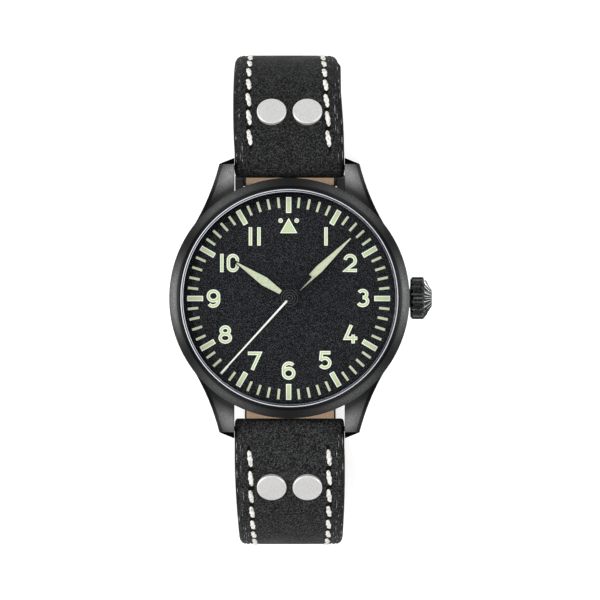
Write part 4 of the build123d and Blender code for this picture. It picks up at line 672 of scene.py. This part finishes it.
def strapPlace(half, run):
    # outwards, up and the angle turned, along the strap's middle line
    pitch = radians(strap["pitch"])
    radius = strap["upperRadius"]
    if run <= upperRun:
        turn = pitch + run / radius
        return (pivotY + radius * (sin(turn) - sin(pitch)), pivotZ - radius * (cos(pitch) - cos(turn)), turn)
    if run <= upperRun + half["sideRun"]:
        return upperY, upperZ - (run - upperRun), pi / 2
    past = run - upperRun - half["sideRun"]
    bend = min(past, half["lowerRadius"] * pi / 2)
    turn = pi / 2 + bend / half["lowerRadius"]
    flat = past - bend
    return (upperY + half["lowerRadius"] * (sin(turn) - 1) - flat,
            upperZ - half["sideRun"] + half["lowerRadius"] * cos(turn), turn)


def totalRun(half):
    return upperRun + half["sideRun"] + half["lowerRadius"] * pi / 2 + half["flatRun"]


def leanAt(half, run):
    # the half strays sideways on its way round, but not between the lugs
    return half["lean"] * sin(pi * min(max(run - strap["lugRun"], 0) / half["leanRun"], 1))


def strapPoint(half, run, across, rise):
    # across is to +X, rise is out of the loop
    out, height, turn = strapPlace(half, run)
    bowed = smoothStep((run - strap["bowStart"]) / strap["bowRise"])
    out += half["bow"] * bowed * smoothStep((strap["bowEnd"] - run) / strap["bowFall"])
    return (across + leanAt(half, run), half["side"] * (out + rise * sin(turn)), height + rise * cos(turn))


def aboveFloor(half, run, across, rise):    # where the tail lies on it
    x, y, z = strapPoint(half, run, across, rise)
    return x, y, max(z, 0.0)


def strapSize(half, run):
    if run < strap["swellRun"]:
        share = max(run, 0) / strap["swellRun"]
        return (strap["endWidth"] + share * (strap["fullWidth"] - strap["endWidth"]),
                strap["endThickness"] + share * (strap["padThickness"] - strap["endThickness"]))
    share = min(max((run - strap["padRun"]) / (strap["taperStart"] - strap["padRun"]), 0), 1)
    thickness = strap["padThickness"] + share * (half["thin"] - strap["padThickness"])
    share = min(max((run - strap["taperStart"]) / (strap["taperEnd"] - strap["taperStart"]), 0), 1)
    early = strap["earlyTaper"] * smoothStep((run - strap["earlyStart"]) / strap["earlyRun"]) * (1 - share)
    return strap["fullWidth"] + share * (strap["buckleWidth"] - strap["fullWidth"]) - early, thickness


def padTop(half, run, across):
    # height of the leather's face over the middle line
    width, thickness = strapSize(half, run)
    full = max((thickness - half["thin"]) / (strap["padThickness"] - half["thin"]), strap["flatShare"])
    rise = thickness / 2 - full * strap["crown"] * min(abs(across) / (width / 2), 1) ** 2
    fromEdge = abs(across) - width / 2
    rise -= strap["grooveDepth"] * max(1 - ((fromEdge + strap["stitchInset"]) / strap["grooveHalf"]) ** 2, 0)
    for inset in strap["creases"]:
        rise -= strap["creaseDepth"] * max(1 - ((fromEdge + inset) / strap["creaseHalf"]) ** 2, 0)
    fromRivet = hypot(abs(across) - strap["rivetSide"], run - half["rivetRun"])
    rise -= strap["pressDepth"] * smoothStep((strap["rivetPress"] - fromRivet) / strap["pressFade"])
    rolled = min(strap["edgeRadius"], strap["edgeShare"] * (thickness - strap["lining"]))
    past = min(max(abs(across) - width / 2 + rolled, 0), rolled)
    return rise - rolled + sqrt(rolled ** 2 - past ** 2)


def capShare(half, run):
    # an end rolls round its bar: 0 at the very end, 1 inside
    past = -run
    reach = strap["endThickness"] / 2
    if half["side"] > 0 and run > upperRun:
        past = run - totalRun(half)
        reach = half["thin"] / 2
    return sqrt(max(1 - (max(past, 0) / reach) ** 2, 0))


def runList(half, first, last):
    count = ceil((last - first) / strap["step"])
    return [first + (last - first) * step / count for step in range(count + 1)]


def tipShare(half, run):
    # the tail narrows to its tip
    if half["side"] > 0:
        return 1.0
    left = totalRun(half) - run
    if left >= strap["tipRun"]:
        return 1.0
    return strap["tipShare"] + (1 - strap["tipShare"]) * sqrt(max(1 - (1 - left / strap["tipRun"]) ** 2, 0))


faceShares = [step / strap["faceSteps"] for step in range(-strap["faceSteps"], strap["faceSteps"] + 1)]
edgeShares = (0.3, 0.6, 0.85)    # down the cut edge


def leatherLoop(half, run):
    width, thickness = strapSize(half, run)
    cap = capShare(half, run)
    capReach = strap["endThickness"] / 2
    corner = min(max((strap["cornerRun"] - run) / (strap["cornerRun"] + capReach), 0), 1)    # at the bar
    halfWidth = width / 2 * tipShare(half, run) - half["corner"] * (1 - sqrt(1 - corner ** 2))
    if half["side"] > 0:    # fills the buckle from arm to arm
        past = run - totalRun(half) + strap["fillStart"]
        halfWidth += strap["buckleFill"] * smoothStep(past / strap["fillRun"])
    wrapped = run <= 0 or (half["side"] > 0 and run >= totalRun(half))
    low = -thickness / 2 * cap if wrapped else strap["lining"] - thickness / 2
    loop = []
    for share in faceShares:    # the face, dense towards the rounded edges
        spread = sin(share * pi / 2)
        loop.append((halfWidth * spread, padTop(half, run, width / 2 * spread) * cap))
    edge = loop[-1][1]
    puff = strap["bulge"] * smoothStep((run - strap["lugRun"]) / strap["bulgeRun"])
    flank = [(halfWidth + puff * sin(share * pi), edge + (low - edge) * share) for share in edgeShares]
    flank.append((halfWidth - strap["underInset"], low))
    loop += flank
    loop += [(halfWidth * share, low) for share in (0.5, 0.0, -0.5)]
    return loop + [(-x, rise) for x, rise in reversed(flank)]


def tube(rings, closedEnds=True):
    # joins loops of points of one length into a skin
    count = len(rings[0])
    points = [point for ring in rings for point in ring]
    faces = []
    for ring in range(len(rings) - 1):
        for step in range(count):
            following = (step + 1) % count
            faces.append([ring * count + step, ring * count + following,
                          (ring + 1) * count + following, (ring + 1) * count + step])
    if closedEnds:
        faces.append(list(range(count)))
        faces.append([(len(rings) - 1) * count + step for step in reversed(range(count))])
    return points, faces


def cutAway(piece, cutter):
    step = piece.modifiers.new("hole", "BOOLEAN")
    step.object = cutter
    step.solver = "EXACT"
    graph = bpy.context.evaluated_depsgraph_get()
    piece.data = bpy.data.meshes.new_from_object(piece.evaluated_get(graph))
    piece.modifiers.clear()


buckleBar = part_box("buckle_bar")
slot = {    # the tang's opening in the end that holds the bar
    "barY": (buckleBar[0].y + buckleBar[1].y) / 2 / mm, "barZ": (buckleBar[0].z + buckleBar[1].z) / 2 / mm,
    "half": 1.2, "past": 1.325, "reach": 3.2, "cut": 6.0,
}
tail = {"firstHole": 9.0, "holePitch": 6.0, "holes": 5, "holeRadius": 0.95, "middle": 1.1, "cut": 8.0}
bpy.ops.mesh.primitive_cube_add(
    size=1, location=(0, (slot["barY"] + (slot["past"] - slot["reach"]) / 2) * mm, slot["barZ"] * mm))
bpy.context.object.scale = (2 * slot["half"] * mm, (slot["past"] + slot["reach"]) * mm, slot["cut"] * mm)
cutters = {"12": [bpy.context.object], "6": []}
for hole in range(tail["holes"]):
    bpy.ops.mesh.primitive_cylinder_add(
        vertices=28, radius=tail["holeRadius"] * mm, depth=tail["cut"] * mm,
        location=(0, (tail["firstHole"] - tail["holePitch"] * hole) * mm, tail["middle"] * mm))
    cutters["6"].append(bpy.context.object)


def leatherRings(half):
    end = totalRun(half)
    runs = [-strap["endThickness"] / 2 * cos(radians(angle)) for angle in capAngles] + runList(half, 0.0, end)
    if half["side"] > 0:
        runs += [end + half["thin"] / 2 * cos(radians(angle)) for angle in reversed(capAngles)]
    return [[strapPoint(half, run, x, rise) for x, rise in leatherLoop(half, run)] for run in runs]


# Lining: a flat skin under the leather, drawn in from its edge, which folds over the buckle's bar
skin = {
    "inset": 0.25, "start": 1.4, "tipGap": 0.4, "lap": 0.02, "rimShare": 0.98,
    "foldAngles": (75, 60, 45, 30), "foldRun": 1.5, "foldDrop": 0.04, "foldThickness": 0.3,
}


def liningRings(half):
    end = totalRun(half)
    folded = half["side"] > 0
    runs = runList(half, skin["start"], end - (0.0 if folded else skin["tipGap"]))
    if folded:
        runs += [end + half["thin"] / 2 * cos(radians(angle)) for angle in skin["foldAngles"]]
    rings = []
    for run in runs:
        width, thickness = strapSize(half, run)
        side = width / 2 * tipShare(half, run) - skin["inset"]
        cap = capShare(half, run)
        low = -thickness / 2 * cap - (skin["foldDrop"] if folded and run > end - skin["foldRun"] else 0.0)
        high = low + (strap["lining"] if cap == 1 else skin["foldThickness"])
        rim = skin["rimShare"]
        loop = [(side * share, high + skin["lap"]) for share in (-1, -0.5, 0, 0.5, 1)]
        loop += [(side * share, low) for share in (rim, 0.5, 0, -0.5, -rim)]
        rings.append([strapPoint(half, run, x, rise) for x, rise in loop])
    return rings


for name, half in halves.items():
    mesh = meshFrom("strapLeather" + name, *tube(leatherRings(half)), smooth=True)
    leather = addPiece("strapLeather" + name, mesh, "leather", "strap_" + name)
    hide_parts("strap_" + name)
    mesh = meshFrom("strapLining" + name, *tube(liningRings(half)))
    lining = addPiece("strapLining" + name, mesh, "tan", "strap_" + name)
    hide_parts("lining_" + name)
    for cutter in cutters[name]:
        for piece in (leather, lining):
            cutAway(piece, cutter)
        bpy.data.objects.remove(cutter)
print("strap halves ready")


# Stitches: twisted lens-shaped strands that dip into the leather at each end
stitch = {
    "length": 3.05, "pitch": 3.35, "width": 0.77, "firstRun": 2.85, "sideRun": 0.1, "slant": 0.12,
    "proud": 0.10, "dip": 0.28, "flatShare": 0.62, "endShare": 0.14, "rings": 11, "around": 10,
    "twist": 0.2, "twistTurn": 3.4, "strayAcross": 0.05, "straySlant": 0.04, "lengths": (0.95, 1.03),
    "holeGap": 0.02, "holeRings": ((0.3, 0.012), (0.22, 0.03)), "holeStretch": 1.5,
}


def circleSteps(count):
    return [2 * pi * step / count for step in range(count)]


def stitchPoints(half, run, across, slant, length):
    rings = []
    for ring in range(stitch["rings"]):
        share = ring / (stitch["rings"] - 1) * 2 - 1
        swell = (1 - abs(share) ** 2.6) * (1 - stitch["endShare"]) + stitch["endShare"]
        at = run + share * length / 2
        shift = slant * share * length / 2
        base = stitch["proud"] - stitch["dip"] * abs(share) ** 4
        loop = []
        for turn in circleSteps(stitch["around"]):
            twist = 1 + stitch["twist"] * cos(2 * turn - share * length * stitch["twistTurn"])
            wide = stitch["width"] / 2 * swell * twist
            rise = padTop(half, at, across) + base + stitch["flatShare"] * wide * sin(turn)
            loop.append(aboveFloor(half, at, across + shift + wide * cos(turn), rise))
        rings.append(loop)
    return tube(rings)


def holeShadePoints(half, run, across):
    # a dark lens laid on the leather where a stitch dives: painted shade of the stitch hole
    loops = []
    for size, height in stitch["holeRings"]:
        loops.append([])
        for turn in circleSteps(stitch["around"]):
            x = across + size * cos(turn)
            at = run + stitch["holeStretch"] * size * sin(turn)
            loops[-1].append(aboveFloor(half, at, x, padTop(half, at, x) + height))
    return tube(loops)


def gather(store, more):
    points, faces = more
    first = len(store[0])
    store[0].extend(points)
    store[1].extend([index + first for index in face] for face in faces)


def addMarks(kind, store, finish, name):
    addPiece(kind + name, meshFrom(kind + name, *store, smooth=True), finish, "strap_" + name)


for name, half in halves.items():
    threads, holes = ([], []), ([], [])
    for side in (-1, 1):
        run = stitch["firstRun"] + stitch["length"] / 2 - stitch["sideRun"] * side
        while run < totalRun(half) - half["stitchEnd"]:
            across = side * (strapSize(half, run)[0] / 2 - strap["stitchInset"])
            across += random.uniform(-stitch["strayAcross"], stitch["strayAcross"])
            stray = random.uniform(-stitch["straySlant"], stitch["straySlant"])
            slant = -half["side"] * (stitch["slant"] + stray)
            length = stitch["length"] * random.uniform(*stitch["lengths"])
            gather(threads, stitchPoints(half, run, across, slant, length))
            for end in (-1, 1):
                at = run + end * (length / 2 + stitch["holeGap"])
                gather(holes, holeShadePoints(half, at, across + end * slant * length / 2))
            run += stitch["pitch"]
    addMarks("stitches", threads, "thread", name)
    addMarks("stitchHoleShade", holes, "hole", name)

# Painted highlights: thin pale lines along the edges
wear = {    # each line by its inset and the share of it that is painted
    "lines": ((0.32, 0.35), (0.95, 0.55), (1.3, 0.4), (1.65, 0.35)), "width": 0.13, "flatShare": 0.3,
    "proud": 0.012, "firstRun": 0.6, "lastRun": 26.0, "lengths": (0.5, 2.2), "gaps": (0.1, 0.9),
}


def creaseGlintPoints(half, run, across, length):
    rings = []
    for share in (-1, -2 / 3, -1 / 3, 0, 1 / 3, 2 / 3, 1):
        at = run + share * length / 2
        wide = wear["width"] / 2 * (1.05 - abs(share))
        loop = []
        for turn in circleSteps(6):
            x = across + wide * cos(turn)
            rise = padTop(half, at, x) + wear["proud"] + wear["flatShare"] * wide * sin(turn)
            loop.append(aboveFloor(half, at, x, rise))
        rings.append(loop)
    return tube(rings)


for name, half in halves.items():
    marks = ([], [])
    for side in (-1, 1):
        for inset, share in wear["lines"]:
            run = wear["firstRun"]
            while run < wear["lastRun"]:
                length = random.uniform(*wear["lengths"])
                across = side * (strapSize(half, run)[0] / 2 - inset)
                if random.random() < share:
                    gather(marks, creaseGlintPoints(half, run + length / 2, across, length))
                run += length + random.uniform(*wear["gaps"])
    addMarks("edgeCreaseGlints", marks, "wear", name)
print("stitches ready")


# Keepers: leather bands with rounded corners
keeper = {
    "length": 5.0, "wall": 0.8, "corner": 0.7, "cornerGrow": 0.6, "gap": 0.35, "sideGap": 0.28,
    # node, piece, body and the run back from the buckle's bar
    "bands": (("fixed_keeper", "fixedKeeperLoop", "strap_12", 8.6),
              ("free_keeper", "freeKeeperLoop", "free_keeper", 16.6)),
    # shares of length and wall: the outer face, rounded at its rims, then back along the inner face
    "shares": ((-0.5, 0.15), (-0.46, 0.75), (-0.38, 1.0), (-0.2, 1.03), (0, 1.04), (0.2, 1.03),
               (0.38, 1.0), (0.46, 0.75), (0.5, 0.15), (0.48, 0.02), (0, 0.0), (-0.48, 0.02)),
}


def roundedLoop(halfX, low, high, corner):
    loop = []
    for cx, cy, start in ((halfX - corner, high - corner, 0), (corner - halfX, high - corner, 90),
                          (corner - halfX, low + corner, 180), (halfX - corner, low + corner, 270)):
        loop += arc(cx, cy, corner, corner, start, start + 90, 6)
    return loop


for node, bandName, body, back in keeper["bands"]:
    half = halves["12"]
    middle = totalRun(half) - back
    low = -half["thin"] / 2 - keeper["gap"]
    high = half["thin"] / 2 + keeper["gap"] + halves["6"]["thin"]
    halfX = strapSize(half, middle - keeper["length"])[0] / 2 + keeper["sideGap"]
    out, height, turn = strapPlace(half, middle)
    aside = leanAt(half, middle)
    rings = []
    for lengthShare, wallShare in keeper["shares"]:
        offset, grow = lengthShare * keeper["length"], wallShare * keeper["wall"]
        corner = keeper["corner"] + grow * keeper["cornerGrow"]
        rings.append([(x + aside, out + rise * sin(turn) + offset * cos(turn),
                       height + rise * cos(turn) - offset * sin(turn))
                      for x, rise in roundedLoop(halfX + grow, low - grow, high + grow, corner)])
    mesh = meshFrom(node, *tube(rings + rings[:1], closedEnds=False), smooth=True)
    work = bmesh.new()
    work.from_mesh(mesh)
    bmesh.ops.remove_doubles(work, verts=work.verts, dist=1e-7)
    bmesh.ops.recalc_face_normals(work, faces=work.faces)
    work.to_mesh(mesh)
    work.free()
    band = addPiece(bandName, mesh, "leather", body)
    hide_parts(node)
print("keepers ready")


# Floor, light and camera
studio = {
    "cameraHeight": 600.0, "aimX": 1.73, "aimY": -0.31, "frameWidth": 97.9, "dialHeight": 45.0,
    "sensor": 36.0, "world": 0.55, "floorHalf": 900, "floorGlow": 0.30,
}
boxes = {    # place, size and power of each light, all aimed at the dial
    "overhead": ((0, 0, 900), (500, 500), 2.2),
    "leftBox": ((-600, 20, 330), (300, 500), 3.2),
    "rightBox": ((600, 20, 330), (300, 500), 1.92),
}
reach = studio["floorHalf"]
corners = [(-reach, -reach, 0), (reach, -reach, 0), (reach, reach, 0), (-reach, reach, 0)]
floorMesh = meshFrom("floor", corners, [[0, 1, 2, 3]])
floor = bpy.data.objects.new("floor", floorMesh)
scene.collection.objects.link(floor)
paper = Finish("paleFloor")
paper.set(baseColor=(0.93, 0.93, 0.93), roughness=0.9, specularLevel=0.0,
          emissionColor=(1.0, 1.0, 1.0), emissionStrength=studio["floorGlow"])
floorMesh.materials.append(paper.material)

world = bpy.data.worlds.new("studio")
world.use_nodes = True
sky = world.node_tree.nodes["Background"].inputs
sky["Color"].default_value = (1.0, 1.0, 1.0, 1)
sky["Strength"].default_value = studio["world"]
scene.world = world

for name, (place, size, power) in boxes.items():
    light = bpy.data.lights.new(name, "AREA")
    light.shape = "RECTANGLE"
    light.size, light.size_y = (channel * mm for channel in size)
    light.energy = power
    lamp = bpy.data.objects.new(name, light)
    lamp.location = [channel * mm for channel in place]
    aim = Vector((0, 0, studio["dialHeight"] * mm)) - lamp.location
    lamp.rotation_euler = aim.to_track_quat("-Z", "Y").to_euler()
    scene.collection.objects.link(lamp)

camera = bpy.data.cameras.new("camera")
camera.sensor_width = studio["sensor"]
camera.lens = studio["sensor"] * studio["cameraHeight"] / studio["frameWidth"]
camera.clip_start = 0.01
eye = bpy.data.objects.new("camera", camera)
eye.location = (studio["aimX"] * mm, studio["aimY"] * mm, (dial["top"] + studio["cameraHeight"]) * mm)
scene.collection.objects.link(eye)
scene.camera = eye
scene.view_settings.view_transform = "Standard"
print("studio ready")
